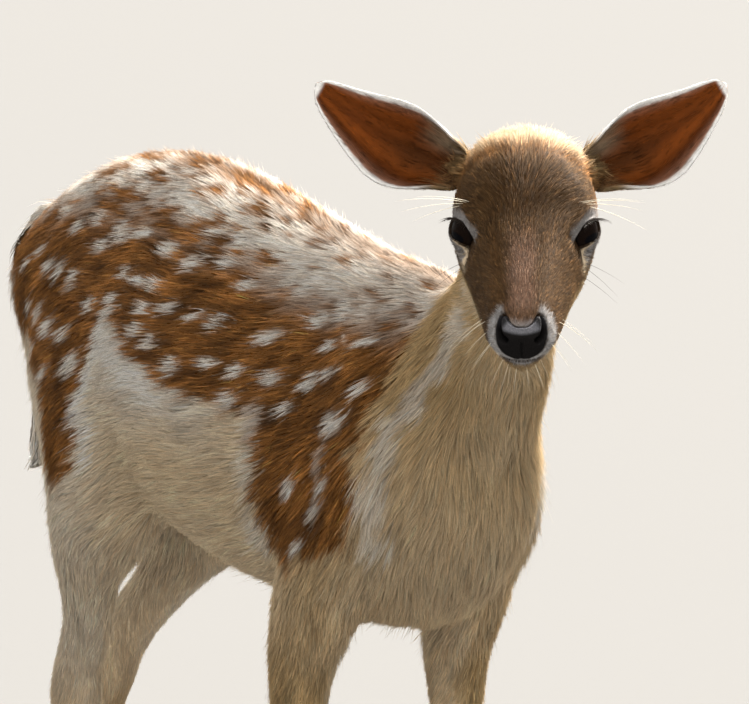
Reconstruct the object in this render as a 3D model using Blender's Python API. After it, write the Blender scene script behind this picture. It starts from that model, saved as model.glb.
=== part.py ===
"""A young fallow deer standing with its head turned: the solids of a life-size museum model.

Metres, +Z up. The animal faces -Y and its left side is +X. The surface is the outer form of the
coat. The body is lofted from cross-sections, fused, and parted into named pieces by thin cuts.
"""
import math

import bmesh
import bpy
import numpy as np
from mathutils import Matrix, Vector

# ---------------------------------------------------------------- driving dimensions (metres)
GAP = 0.0003                # clearance between neighbouring pieces
BODY_VOXEL = 0.004          # grain at which the body's forms are fused
HEAD_VOXEL = 0.002          # grain at which the head's forms are fused
RING_SIDES = 28             # points round each lofted section
RING_STEPS = 4              # rings between two stated sections
HEAD_SIDES = 40             # points round each section of the head
# Facets round and from pole to pole of the round pieces.
EYE_FACETS = (16, 7)
NOSE_FACETS = (14, 8)
ORBIT_FACETS = (24, 14)
DEWCLAW_FACETS = (8, 4)
TAIL_SIDES = 12
CLAW_SIDES = 12
CLAW_LEVELS = 3
CUT_SIZE = 1.2              # edge of the blocks used to cut with

# Where the head stands: the middle of the two eyes, and the way the face points.
EYES_AT = Vector((-0.040, -0.218, 0.616))
HEAD_YAW = math.radians(-32.7)      # turned to the animal's right
HEAD_PITCH = math.radians(19.4)     # nose down
EYE_RADIUS = 0.0145
EYE_OUT = 0.0315                    # eye's centre from the middle of the head
EYE_UP = -0.0015

# The orbit, hollowed round the eye towards where it looks: out, ahead, up.
ORBIT_WAY = (0.72, 0.69, 0.05)
ORBIT_REACH = 0.024                 # from the eye's centre to the hollow's
ORBIT_RADIUS = 0.0172
# The nose leather: its middle (ahead, up) and its half sizes.
NOSE_AHEAD = 0.0945
NOSE_UP = -0.0215
NOSE_RADII = Vector((0.0142, 0.0130, 0.0125))

EAR_LENGTH = 0.106
EAR_THICKNESS = 0.0034
EAR_POINTS = 9                      # points across the leaf

HOOF_HEIGHT = 0.027
HOOF_LENGTH = 0.040
HOOF_WIDTH = 0.0145
HOOF_TAPER = (0.36, 0.14)           # share of length and of width lost at the top
HOOF_SLOPE = 0.26                   # how far the top lies behind the sole, in hoof lengths
HOOF_AHEAD = 0.003
TOE_NARROW = 0.42
TOE_LEAN = 0.0024
CLAW_SPREAD = 0.0082                # a claw's centre from the middle of the foot
DEWCLAW_AT = (0.0095, 0.030, 0.052)     # out, back and up from the middle of the foot
DEWCLAW_RADII = (0.0050, 0.0060, 0.0085)

# How far out and how far back each foot is set from its plain stance.
SETS = {("fore", "right"): (0.009, 0.012), ("fore", "left"): (0.0, -0.004),
        ("hind", "right"): (0.0, 0.0), ("hind", "left"): (-0.008, 0.094)}

# The fused form is softened above the elbows; the legs below keep their shape.
SOFT_FROM = 0.27
SOFT_SPAN = 0.08
SOFT_LEAST = 0.12
BODY_SMOOTHING = 20
HEAD_SMOOTHING = 5
TRIANGLES = {"head": 2150, "body": 3500, "leg": 2950}

# ---------------------------------------------------------------- where the body is parted
NAPE = (0.0, -0.080, 0.010)         # in the head's frame: out, ahead, up
NAPE_WAY = (0.843, 0.540)           # ahead, up
NECK_FOOT = Vector((0.0, -0.055, 0.580))
NECK_FOOT_WAY = Vector((0.0, -0.826, 0.563))
# The cell that takes each leg: outline (out, up), then where it starts and ends along the body.
LEG_CELLS = {
    "fore": ([(0.013, -0.02), (0.013, 0.322), (0.021, 0.338), (0.140, 0.488), (0.140, -0.02)],
             -0.125, 0.066),
    "hind": ([(0.012, -0.02), (0.012, 0.365), (0.020, 0.388), (0.140, 0.520), (0.140, -0.02)],
             0.212, 0.560),
}

# ---------------------------------------------------------------- sections of the body
# Trunk: along the body, back line, belly line, half width, and how low the widest point is.
TRUNK = [
    (-0.126, 0.466, 0.422, 0.017, 0.00),
    (-0.112, 0.528, 0.386, 0.038, 0.00),
    (-0.085, 0.560, 0.358, 0.053, 0.02),
    (-0.040, 0.568, 0.340, 0.062, 0.08),
    (0.010, 0.571, 0.335, 0.071, 0.12),
    (0.060, 0.577, 0.337, 0.080, 0.12),
    (0.110, 0.585, 0.342, 0.087, 0.12),
    (0.160, 0.593, 0.349, 0.090, 0.10),
    (0.210, 0.600, 0.358, 0.087, 0.06),
    (0.255, 0.602, 0.370, 0.080, 0.00),
    (0.300, 0.597, 0.388, 0.073, -0.05),
    (0.345, 0.586, 0.408, 0.067, -0.05),
    (0.385, 0.568, 0.430, 0.059, -0.04),
    (0.418, 0.549, 0.448, 0.048, -0.02),
    (0.438, 0.534, 0.464, 0.036, 0.00),
    (0.449, 0.513, 0.482, 0.019, 0.00),
]
# Neck: centre, half width, half depth, from inside the chest to inside the skull.
NECK = [
    ((0.000, -0.020, 0.470), 0.050, 0.070),
    ((0.000, -0.062, 0.488), 0.050, 0.070),
    ((0.000, -0.098, 0.512), 0.044, 0.056),
    ((-0.003, -0.127, 0.540), 0.036, 0.042),
    ((-0.008, -0.150, 0.568), 0.0325, 0.035),
    ((-0.012, -0.160, 0.596), 0.031, 0.034),
    ((-0.014, -0.165, 0.624), 0.030, 0.033),
]
# Legs: out from the middle line, along the body, up, half width, half depth.
FORELEG = [
    (0.018, 0.018, 0.540, 0.014, 0.024),
    (0.040, -0.010, 0.500, 0.018, 0.036),
    (0.048, -0.040, 0.455, 0.022, 0.041),
    (0.050, -0.042, 0.415, 0.024, 0.038),
    (0.050, -0.014, 0.383, 0.025, 0.037),
    (0.050, 0.002, 0.350, 0.0245, 0.036),
    (0.050, 0.011, 0.320, 0.0215, 0.0270),
    (0.050, 0.012, 0.285, 0.0175, 0.0195),
    (0.050, 0.010, 0.250, 0.0148, 0.0165),
    (0.049, 0.007, 0.218, 0.0142, 0.0152),
    (0.049, 0.005, 0.195, 0.0155, 0.0168),
    (0.049, 0.009, 0.168, 0.0120, 0.0135),
    (0.049, 0.011, 0.125, 0.0100, 0.0120),
    (0.049, 0.011, 0.090, 0.0106, 0.0132),
    (0.049, 0.010, 0.066, 0.0140, 0.0165),
    (0.049, 0.001, 0.045, 0.0128, 0.0138),
    (0.049, -0.008, 0.028, 0.0150, 0.0155),
    (0.049, -0.013, 0.016, 0.0120, 0.0130),
]
HINDLEG = [
    (0.016, 0.300, 0.553, 0.018, 0.036),
    (0.037, 0.318, 0.517, 0.028, 0.056),
    (0.048, 0.304, 0.470, 0.033, 0.066),
    (0.054, 0.275, 0.425, 0.034, 0.069),
    (0.059, 0.266, 0.390, 0.032, 0.066),
    (0.060, 0.278, 0.362, 0.028, 0.049),
    (0.0575, 0.293, 0.335, 0.0215, 0.0345),
    (0.0515, 0.3035, 0.308, 0.0165, 0.0252),
    (0.0455, 0.3165, 0.283, 0.0142, 0.0215),
    (0.043, 0.3325, 0.258, 0.0140, 0.0215),
    (0.0405, 0.3415, 0.232, 0.0148, 0.0250),
    (0.040, 0.346, 0.200, 0.0128, 0.0178),
    (0.040, 0.347, 0.140, 0.0105, 0.0128),
    (0.040, 0.344, 0.095, 0.0108, 0.0136),
    (0.040, 0.341, 0.070, 0.0140, 0.0168),
    (0.040, 0.332, 0.047, 0.0128, 0.0138),
    (0.040, 0.323, 0.029, 0.0148, 0.0155),
    (0.040, 0.318, 0.016, 0.0120, 0.0130),
]
# A leg set back swings from the hip: share of the set taken at each height.
SWING_TOP = 0.500
SWING_FOOT = 0.175
# The back of the thigh, from the seat down to the gaskin.
HAMSTRING = [
    (0.026, 0.385, 0.505, 0.020, 0.040),
    (0.030, 0.372, 0.455, 0.022, 0.044),
    (0.036, 0.345, 0.410, 0.021, 0.045),
    (0.042, 0.326, 0.370, 0.019, 0.040),
    (0.047, 0.318, 0.335, 0.015, 0.028),
    (0.049, 0.316, 0.305, 0.011, 0.018),
]
# Tail: centre, half width, half depth.
TAIL = [
    ((0.0, 0.412, 0.540), 0.016, 0.012), ((0.0, 0.444, 0.533), 0.016, 0.012),
    ((0.0, 0.466, 0.510), 0.018, 0.010), ((0.0, 0.470, 0.480), 0.018, 0.010),
    ((0.0, 0.461, 0.452), 0.015, 0.009), ((0.0, 0.451, 0.425), 0.012, 0.009),
    ((-0.004, 0.448, 0.398), 0.011, 0.008), ((-0.012, 0.453, 0.366), 0.004, 0.004),
]

# Head: ahead of the eyes, top, brow (out, up), cheek (out, up), jaw (out, up), underside; millimetres.
HEAD = [
    (-86, 6, 17, 0, 29, -20, 19, -40, -48),
    (-74, 22, 21, 15, 32, -14, 23, -46, -55),
    (-60, 36, 25, 27, 35, -8, 26, -51, -62),
    (-45, 42, 28, 33, 38, -4, 28, -54, -66),
    (-30, 42, 30, 34, 41, -2, 29, -55, -67),
    (-15, 37, 31, 31, 43, -1, 29, -53, -66),
    (0, 30, 31, 25, 43, -3, 28, -50, -63),
    (15, 22, 27, 17, 38, -9, 26, -46, -60),
    (30, 15, 22, 10, 33, -16, 23, -43, -57),
    (45, 8, 18.5, 4, 29, -21, 20.5, -40, -54),
    (60, 1.5, 16, -2, 25.5, -24, 18.5, -39, -52.5),
    (73, -5, 14.5, -8, 22.5, -25.5, 17, -39, -52),
    (83, -10, 13, -13, 20.5, -26.5, 14.5, -38.5, -51),
    (91, -16, 11.5, -18.5, 17.5, -27.5, 11, -36.5, -44),
    (96, -22, 8.5, -23.5, 12, -29, 8, -34.5, -38),
    (98.5, -27, 4, -27.5, 6, -30, 4, -32.5, -33.5),
]
# Ear, from the tip: distance, half width, and shift of its middle line; millimetres.
EAR = [
    (0, 1.2, 0.0), (4, 6.6, 0.8), (12, 10.6, 2.4), (26, 15.6, 4.6), (39, 20.2, 5.8), (54, 24.8, 6.3),
    (65, 25.6, 6.1), (75, 23.6, 5.6), (84, 20.0, 4.2), (94, 15.5, 2.5), (106, 12.0, 1.0),
]
# The ears' reach: out, ahead and up. The left one is laid back a little further.
EAR_REACH = {"right": (0.826, -0.497, 0.264), "left": (0.740, -0.635, 0.218)}
EAR_ROLL = (0.45, 2.1)      # how far the leaf curls round, at the tip and at the root (radians, half)
ROLL_EASE = 0.65            # how much of the curl is kept for the root
EAR_FOOT = (0.039, -0.048, 0.0135)      # the leaf's root in the head's frame: out, ahead, up
EAR_OPEN = (0.16, 0.80, 0.50)           # where the leaf opens: out, ahead, up
# The root under each ear: centre in the head's frame, half width, half depth.
EAR_ROOT = [((0.022, -0.049, 0.004), 0.014, 0.016), ((0.035, -0.055, 0.009), 0.0110, 0.0130),
            ((0.042, -0.061, 0.012), 0.005, 0.006)]


# ---------------------------------------------------------------- small tools
def material(name, colour, roughness, metallic=0.0):
    mat = bpy.data.materials.new(name)
    mat.use_nodes = True
    shader = mat.node_tree.nodes["Principled BSDF"]
    shader.inputs["Base Color"].default_value = (*colour, 1.0)
    shader.inputs["Roughness"].default_value = roughness
    shader.inputs["Metallic"].default_value = metallic
    return mat


def spline(rows, steps=RING_STEPS):
    """Catmull-Rom rows between the stated rows, with the ends kept."""
    rows = np.array(rows, float)
    padded = np.vstack([2 * rows[0] - rows[1], rows, 2 * rows[-1] - rows[-2]])
    out = []
    for i in range(1, len(rows)):
        before, start, end, after = padded[i - 1:i + 3]
        for step in range(steps):
            t = step / steps
            out.append(0.5 * (2 * start + (end - before) * t
                              + (2 * before - 5 * start + 4 * end - after) * t ** 2
                              + (3 * start - 3 * end + after - before) * t ** 3))
    out.append(rows[-1])
    return out


def loft(name, rings):
    """A closed mesh through rings of equal length, each a list of points, with capped ends."""
    bm = bmesh.new()
    loops = [[bm.verts.new(point) for point in ring] for ring in rings]
    count = len(loops[0])
    for lower, upper in zip(loops, loops[1:]):
        for i in range(count):
            j = (i + 1) % count
            bm.faces.new((lower[i], lower[j], upper[j], upper[i]))
    bm.faces.new(loops[0][::-1])
    bm.faces.new(loops[-1])
    bmesh.ops.triangulate(bm, faces=[face for face in bm.faces if len(face.verts) > 4])
    bmesh.ops.recalc_face_normals(bm, faces=bm.faces)
    mesh = bpy.data.meshes.new(name)
    bm.to_mesh(mesh)
    bm.free()
    obj = bpy.data.objects.new(name, mesh)
    bpy.context.collection.objects.link(obj)
    return obj


def swept(name, stations, sides=RING_SIDES, steps=RING_STEPS):
    """A loft of ellipses square to a path. Each station is (centre, half width, half depth)."""
    rows = spline([(*centre, width, depth) for centre, width, depth in stations], steps)
    centres = [Vector(row[:3]) for row in rows]
    rings = []
    for i, row in enumerate(rows):
        ahead = centres[min(i + 1, len(rows) - 1)] - centres[max(i - 1, 0)]
        ahead.normalize()
        across = (Vector((1, 0, 0)) - ahead * ahead.x).normalized()
        along = ahead.cross(across)
        rings.append([centres[i] + across * row[3] * math.cos(a) + along * row[4] * math.sin(a)
                      for a in np.linspace(0, math.tau, sides, endpoint=False)])
    return loft(name, rings)


def evaluated(obj):
    """The object's mesh with its modifiers applied, as a plain mesh."""
    graph = bpy.context.evaluated_depsgraph_get()
    return bpy.data.meshes.new_from_object(obj.evaluated_get(graph))


def fused(name, objects, voxel, smoothing, weight):
    """One closed form from overlapping ones, softened where weight(point) says so."""
    bm = bmesh.new()
    for obj in objects:
        bm.from_mesh(obj.data)
    mesh = bpy.data.meshes.new(name)
    bm.to_mesh(mesh)
    bm.free()
    whole = bpy.data.objects.new(name, mesh)
    bpy.context.collection.objects.link(whole)
    remesh = whole.modifiers.new("Fuse", "REMESH")
    remesh.mode = "VOXEL"
    remesh.voxel_size = voxel
    whole.data = evaluated(whole)
    whole.modifiers.clear()
    group = whole.vertex_groups.new(name="soft")
    for vertex in whole.data.vertices:
        group.add([vertex.index], weight(vertex.co), "REPLACE")
    smooth = whole.modifiers.new("Soften", "SMOOTH")
    smooth.factor = 0.5
    smooth.iterations = smoothing
    smooth.vertex_group = "soft"
    whole.data = evaluated(whole)
    whole.modifiers.clear()
    return whole


def reduced(obj, triangles):
    """A copy of the object brought down to about this many triangles."""
    copy = bpy.data.objects.new(obj.name + "_reduced", obj.data.copy())
    bpy.context.collection.objects.link(copy)
    decimate = copy.modifiers.new("Reduce", "DECIMATE")
    decimate.ratio = triangles / (2 * len(obj.data.polygons))
    decimate.use_collapse_triangulate = True
    copy.data = evaluated(copy)
    copy.modifiers.clear()
    return copy


def combined(obj, cutter, operation):
    """Boolean the object with a cutter, and keep the result as its mesh."""
    boolean = obj.modifiers.new("Part", "BOOLEAN")
    boolean.operation = operation
    boolean.object = cutter
    boolean.solver = "EXACT"
    obj.data = evaluated(obj)
    obj.modifiers.clear()
    return obj


def grown(obj, amount):
    """A copy of the object pushed out along its normals."""
    copy = bpy.data.objects.new(obj.name + "_grown", obj.data.copy())
    bpy.context.collection.objects.link(copy)
    push = copy.modifiers.new("Push", "DISPLACE")
    push.strength = amount
    push.mid_level = 0.0
    copy.data = evaluated(copy)
    copy.modifiers.clear()
    return copy


# ---------------------------------------------------------------- the head's own frame
FACE_LEFT = Vector((math.cos(HEAD_YAW), math.sin(HEAD_YAW), 0.0))
FACE_AHEAD = Vector((math.sin(HEAD_YAW) * math.cos(HEAD_PITCH),
                     -math.cos(HEAD_YAW) * math.cos(HEAD_PITCH), -math.sin(HEAD_PITCH)))
FACE_UP = FACE_AHEAD.cross(FACE_LEFT)


def on_head(out, ahead, up):
    """A point given from the middle of the eyes: towards the left, the nose and the crown."""
    return EYES_AT + FACE_LEFT * out + FACE_AHEAD * ahead + FACE_UP * up


def head_matrix(out, ahead, up):
    turn = Matrix((FACE_LEFT, -FACE_AHEAD, FACE_UP)).transposed().to_4x4()
    return Matrix.Translation(on_head(out, ahead, up)) @ turn


def closed_curve(points, count):
    """Evenly parametered points on a closed Catmull-Rom curve through the given ones."""
    total = len(points)
    out = []
    for k in range(count):
        place = k * total / count
        i = int(place)
        t = place - i
        before, start, end, after = (points[(i + j) % total] for j in (-1, 0, 1, 2))
        out.append(0.5 * (2 * start + (end - before) * t
                          + (2 * before - 5 * start + 4 * end - after) * t ** 2
                          + (3 * start - 3 * end + after - before) * t ** 3))
    return out


def ball(name, matrix, radii, facets):
    bm = bmesh.new()
    bmesh.ops.create_uvsphere(bm, u_segments=facets[0], v_segments=facets[1], radius=1.0)
    bmesh.ops.transform(bm, matrix=matrix @ Matrix.Diagonal((*radii, 1.0)), verts=bm.verts)
    mesh = bpy.data.meshes.new(name)
    bm.to_mesh(mesh)
    bm.free()
    obj = bpy.data.objects.new(name, mesh)
    bpy.context.collection.objects.link(obj)
    return obj


# ---------------------------------------------------------------- forms to be fused
def trunk_form():
    rings = []
    for along, top, bottom, width, drop in spline(TRUNK):
        middle = (top + bottom) / 2
        half = (top - bottom) / 2
        ring = []
        for a in np.linspace(0, math.tau, RING_SIDES, endpoint=False):
            up = math.cos(a)
            # the widest point sits a little below the middle, and the back is rounder than the belly
            out = math.sin(a) * (1.0 - 0.10 * up - 0.06 * up * up)
            ring.append(Vector((width * out, along, middle + half * (up - drop * (1 - up * up)))))
        rings.append(ring)
    return loft("trunk_form", rings)


def leg_form(name, stations, side, pair):
    """One leg, swung from the top of its swing down to where its foot is set."""
    sign = 1 if side == "left" else -1
    aside, back = SETS[pair, side]
    rows = []
    for out, along, up, width, depth in stations:
        swing = 0.5 - 0.5 * math.cos(math.pi * min(1.0, max(0.0, (SWING_TOP - up)
                                                            / (SWING_TOP - SWING_FOOT))))
        rows.append((Vector((sign * (out + aside * swing), along + back * swing, up)), width, depth))
    return swept(name, rows)


def head_form():
    rings = []
    for row in spline(HEAD):
        ahead, top, brow_out, brow, cheek_out, cheek, jaw_out, jaw, under = (v * 0.001 for v in row)
        half = [(0.0, top), (brow_out, brow), (cheek_out, cheek), (jaw_out, jaw), (0.0, under)]
        outline = half + [(-out, up) for out, up in half[-2:0:-1]]
        outline = closed_curve([Vector(point) for point in outline], HEAD_SIDES)
        rings.append([on_head(point.x, ahead, point.y) for point in outline])
    return loft("head_form", rings)


def ear_root_form(side):
    sign = 1 if side == "left" else -1
    rows = [(on_head(sign * out, ahead, up), width, depth)
            for (out, ahead, up), width, depth in EAR_ROOT]
    return swept("ear_root_form_" + side, rows)


def ear_leaf(side):
    """The ear: a leaf curled round its own length, open to the front, thickened to a shell."""
    sign = 1 if side == "left" else -1
    root = on_head(sign * EAR_FOOT[0], *EAR_FOOT[1:])
    out, ahead, up = EAR_REACH[side]
    reach = (FACE_LEFT * sign * out + FACE_AHEAD * ahead + FACE_UP * up).normalized()
    open_to = FACE_LEFT * sign * EAR_OPEN[0] + FACE_AHEAD * EAR_OPEN[1] + FACE_UP * EAR_OPEN[2]
    open_to = (open_to - reach * open_to.dot(reach)).normalized()
    across = reach.cross(open_to) * -sign
    bm = bmesh.new()
    loops = []
    for distance, half, shift in np.array(EAR) * 0.001:
        t = distance / EAR_LENGTH
        curl = EAR_ROLL[0] + (EAR_ROLL[1] - EAR_ROLL[0]) * ((1 - ROLL_EASE) * t + ROLL_EASE * t * t)
        radius = half / math.sin(min(curl, math.pi / 2))
        centre = root + reach * (EAR_LENGTH - distance)
        loop = []
        for a in np.linspace(-curl, curl, EAR_POINTS):
            deep = radius * (math.cos(curl) - math.cos(a))
            loop.append(bm.verts.new(centre + across * (radius * math.sin(a) - shift)
                                     + open_to * deep))
        loops.append(loop)
    for lower, upper in zip(loops, loops[1:]):
        for i in range(len(lower) - 1):
            bm.faces.new((lower[i], lower[i + 1], upper[i + 1], upper[i]))
    bmesh.ops.recalc_face_normals(bm, faces=bm.faces)
    mesh = bpy.data.meshes.new("ear_leaf_" + side)
    bm.to_mesh(mesh)
    bm.free()
    leaf = bpy.data.objects.new("ear_leaf_" + side, mesh)
    bpy.context.collection.objects.link(leaf)
    shell = leaf.modifiers.new("Shell", "SOLIDIFY")
    shell.thickness = EAR_THICKNESS
    shell.offset = 0.0
    leaf.data = evaluated(leaf)
    leaf.modifiers.clear()
    return leaf


def foot_centre(stations, side, pair):
    """Where the middle of a foot stands on the floor."""
    sign = 1 if side == "left" else -1
    aside, back = SETS[pair, side]
    return Vector((sign * (stations[-1][0] + aside), stations[-1][1] + back, 0.0))


def claw(name, centre, outward):
    """One half of a cloven hoof: flat sole, straight inner wall, pointed toe ahead."""
    rings = []
    for level in np.linspace(0.0, 1.0, CLAW_LEVELS):
        length = HOOF_LENGTH * (1.0 - HOOF_TAPER[0] * level)
        width = HOOF_WIDTH * (1.0 - HOOF_TAPER[1] * level)
        back = HOOF_SLOPE * HOOF_LENGTH * level - HOOF_AHEAD
        ring = []
        for a in np.linspace(0, math.tau, CLAW_SIDES, endpoint=False):
            ahead = math.cos(a)
            out = math.sin(a)
            # the toe narrows, and its point leans to the middle of the foot
            narrow = 1.0 - TOE_NARROW * max(0.0, ahead) ** 2
            lean = -outward * TOE_LEAN * max(0.0, ahead) ** 2
            ring.append(Vector((centre.x + 0.5 * width * out * narrow + lean,
                                centre.y + back - 0.5 * length * ahead, HOOF_HEIGHT * level)))
        rings.append(ring)
    return loft(name, rings)


def prism(name, outline, start, end):
    """A prism along Y from an outline of (x, z) points."""
    return loft(name, [[Vector((x, start, z)) for x, z in outline],
                       [Vector((x, end, z)) for x, z in outline]])


def half_space(name, point, normal):
    """A large block whose one face passes through the point, lying on the normal's side."""
    turn = Vector(normal).to_track_quat("Z", "Y").to_matrix().to_4x4()
    bm = bmesh.new()
    bmesh.ops.create_cube(bm, size=CUT_SIZE)
    place = Matrix.Translation(point) @ turn @ Matrix.Translation((0, 0, CUT_SIZE / 2))
    bmesh.ops.transform(bm, matrix=place, verts=bm.verts)
    mesh = bpy.data.meshes.new(name)
    bm.to_mesh(mesh)
    bm.free()
    obj = bpy.data.objects.new(name, mesh)
    bpy.context.collection.objects.link(obj)
    return obj


# ---------------------------------------------------------------- parting the body
def copy_of(obj, name):
    copy = bpy.data.objects.new(name, obj.data.copy())
    bpy.context.collection.objects.link(copy)
    return copy


def main():
    for obj in list(bpy.data.objects):
        bpy.data.objects.remove(obj, do_unlink=True)

    coat = material("coat", (0.40, 0.22, 0.10), 0.85)
    pale = material("pale_coat", (0.62, 0.52, 0.38), 0.85)
    eye_dark = material("eye", (0.015, 0.010, 0.008), 0.08)
    nose_dark = material("nose", (0.03, 0.025, 0.025), 0.45)
    horn = material("hoof", (0.07, 0.06, 0.05), 0.5)

    sides = ("right", "left")
    legs = {}
    for side in sides:
        legs["fore", side] = leg_form("foreleg_form_" + side, FORELEG, side, "fore")
        legs["hind", side] = leg_form("hindleg_form_" + side, HINDLEG, side, "hind")
        legs["thigh", side] = leg_form("hamstring_form_" + side, HAMSTRING, side, "hind")
    trunk = trunk_form()
    neck = swept("neck_form", NECK)
    head = head_form()
    roots = [ear_root_form(side) for side in sides]

    def body_softness(point):
        # legs keep their form; the joints with the body are softened
        return min(1.0, max(SOFT_LEAST, (point.z - SOFT_FROM) / SOFT_SPAN))

    body = fused("body_form", [trunk, neck, head, *roots, *legs.values()],
                 BODY_VOXEL, BODY_SMOOTHING, body_softness)
    face = fused("face_form", [neck, head, *roots], HEAD_VOXEL, HEAD_SMOOTHING, lambda point: 1.0)
    eyes = {side: (EYE_OUT if side == "left" else -EYE_OUT, 0.0, EYE_UP) for side in sides}
    for side in sides:
        sign = 1 if side == "left" else -1
        out, ahead, up = (a + ORBIT_REACH * b for a, b in zip((EYE_OUT, 0.0, EYE_UP), ORBIT_WAY))
        orbit = ball("orbit_" + side, head_matrix(sign * out, ahead, up), [ORBIT_RADIUS] * 3, ORBIT_FACETS)
        combined(face, orbit, "DIFFERENCE")

    body_low = reduced(body, TRIANGLES["body"])
    legs_low = reduced(body, TRIANGLES["leg"])
    face_low = reduced(face, TRIANGLES["head"])
    nodes = []

    # head, with the nose leather and the eyes parted from it
    nape = on_head(*NAPE)
    nape_way = FACE_AHEAD * NAPE_WAY[0] + FACE_UP * NAPE_WAY[1]
    nose_place = head_matrix(0.0, NOSE_AHEAD, NOSE_UP)
    nose_cell = ball("nose_cell", nose_place, NOSE_RADII, NOSE_FACETS)
    nose_cut = ball("nose_cut", nose_place, NOSE_RADII + Vector((GAP, GAP, GAP)), NOSE_FACETS)
    head_node = combined(copy_of(face_low, "head"), half_space("head_cell", nape, nape_way), "INTERSECT")
    nose_node = combined(copy_of(head_node, "nose"), nose_cell, "INTERSECT")
    combined(head_node, nose_cut, "DIFFERENCE")
    for side in sides:
        place = head_matrix(*eyes[side])
        socket = ball("socket_" + side, place, [EYE_RADIUS + GAP] * 3, EYE_FACETS)
        combined(head_node, socket, "DIFFERENCE")
        nodes.append((ball("eye_" + side, place, [EYE_RADIUS] * 3, EYE_FACETS), eye_dark))
    nodes += [(head_node, coat), (nose_node, nose_dark)]

    # ears, cut where they meet the head
    around = grown(face_low, GAP)
    for side in sides:
        ear = combined(copy_of(ear_leaf(side), "ear_" + side), around, "DIFFERENCE")
        nodes.append((ear, coat))

    # neck
    neck_node = combined(copy_of(body_low, "neck"),
                         half_space("below_head", nape - nape_way * GAP, -nape_way), "INTERSECT")
    combined(neck_node, half_space("neck_cell", NECK_FOOT, NECK_FOOT_WAY), "INTERSECT")
    nodes.append((neck_node, pale))

    # legs: cells that take each leg up to the elbow or the stifle and a little over
    cells = {}
    for side in sides:
        sign = 1 if side == "left" else -1
        for pair, (outline, start, end) in LEG_CELLS.items():
            turned = [(sign * x, z) for x, z in outline]
            cells[pair, side] = prism("%s_cell_%s" % (pair, side), turned, start, end)

    below = half_space("below_neck", NECK_FOOT - NECK_FOOT_WAY * GAP, -NECK_FOOT_WAY)
    trunk_node = combined(copy_of(body_low, "trunk"), below, "INTERSECT")
    for key, cell in cells.items():
        combined(trunk_node, grown(cell, GAP), "DIFFERENCE")
    nodes.append((trunk_node, coat))

    for (pair, side), cell in cells.items():
        sign = 1 if side == "left" else -1
        stations = FORELEG if pair == "fore" else HINDLEG
        leg = combined(copy_of(legs_low, "%sleg_%s" % (pair, side)), cell, "INTERSECT")
        foot = foot_centre(stations, side, pair)
        for place, toward in (("inner", -sign), ("outer", sign)):
            centre = foot + Vector((toward * CLAW_SPREAD, 0, 0))
            name = "claw_%s_%s_%s" % (pair, side, place)
            hoof = claw(name, centre, toward)
            combined(leg, grown(hoof, GAP), "DIFFERENCE")
            nodes.append((hoof, horn))
            heel = foot + Vector((toward * DEWCLAW_AT[0], *DEWCLAW_AT[1:]))
            dew = ball("dewclaw_%s_%s_%s" % (pair, side, place), Matrix.Translation(heel),
                       DEWCLAW_RADII, DEWCLAW_FACETS)
            combined(leg, grown(dew, GAP), "DIFFERENCE")
            nodes.append((dew, horn))
        nodes.append((leg, pale))

    # tail, cut where it meets the rump
    tail_node = combined(swept("tail", TAIL, TAIL_SIDES, 1), grown(body_low, GAP), "DIFFERENCE")
    nodes.append((tail_node, coat))

    finish(nodes)


def finish(nodes):
    """Keep the named pieces only, give them their materials, and centre the whole on the floor."""
    kept = {obj.name for obj, _ in nodes}
    for obj in list(bpy.data.objects):
        if obj.name not in kept:
            bpy.data.objects.remove(obj, do_unlink=True)
    corners = np.array([vertex.co[:] for obj, _ in nodes for vertex in obj.data.vertices])
    low, high = corners.min(axis=0), corners.max(axis=0)
    shift = Vector((-(low[0] + high[0]) / 2, -(low[1] + high[1]) / 2, -low[2]))
    for obj, mat in nodes:
        obj.data.transform(Matrix.Translation(shift))
        obj.data.materials.clear()
        obj.data.materials.append(mat)
        obj.data.shade_smooth()


main()
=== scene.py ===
"""The looks of the standing fallow fawn: its skin, coat, eyes, nose, hooves and whiskers.

Metres, +Z up, in the frame of the CAD model. The animal faces -Y and its left side is +X. It is
laid out as an add-on: settings, one operator for each piece or group of pieces, and a panel.
"""
import math

import bmesh
import bpy
import numpy as np
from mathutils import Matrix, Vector
from mathutils.bvhtree import BVHTree
from mathutils.kdtree import KDTree


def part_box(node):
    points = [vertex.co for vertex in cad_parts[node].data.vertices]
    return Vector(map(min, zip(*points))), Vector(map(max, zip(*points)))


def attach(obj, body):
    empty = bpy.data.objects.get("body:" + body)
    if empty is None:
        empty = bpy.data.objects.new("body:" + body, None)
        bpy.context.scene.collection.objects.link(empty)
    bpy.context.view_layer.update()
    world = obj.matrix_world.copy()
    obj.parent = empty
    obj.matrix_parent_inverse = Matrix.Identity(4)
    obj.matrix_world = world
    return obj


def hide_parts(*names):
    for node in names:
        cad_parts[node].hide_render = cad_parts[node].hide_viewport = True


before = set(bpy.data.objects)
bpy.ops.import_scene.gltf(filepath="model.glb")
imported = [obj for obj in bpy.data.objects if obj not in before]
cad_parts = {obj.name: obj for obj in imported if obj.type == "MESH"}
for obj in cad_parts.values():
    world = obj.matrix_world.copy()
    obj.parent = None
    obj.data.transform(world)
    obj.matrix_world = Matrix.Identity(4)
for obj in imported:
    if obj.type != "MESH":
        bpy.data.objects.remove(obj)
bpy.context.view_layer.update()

bl_info = {
    "name": "Fallow fawn",
    "version": (1, 0, 0),
    "blender": (4, 5, 0),
    "location": "3D View > Sidebar > Fawn",
    "description": "Skin, coat and features of a standing fallow fawn",
    "category": "Add Mesh",
}

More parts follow.
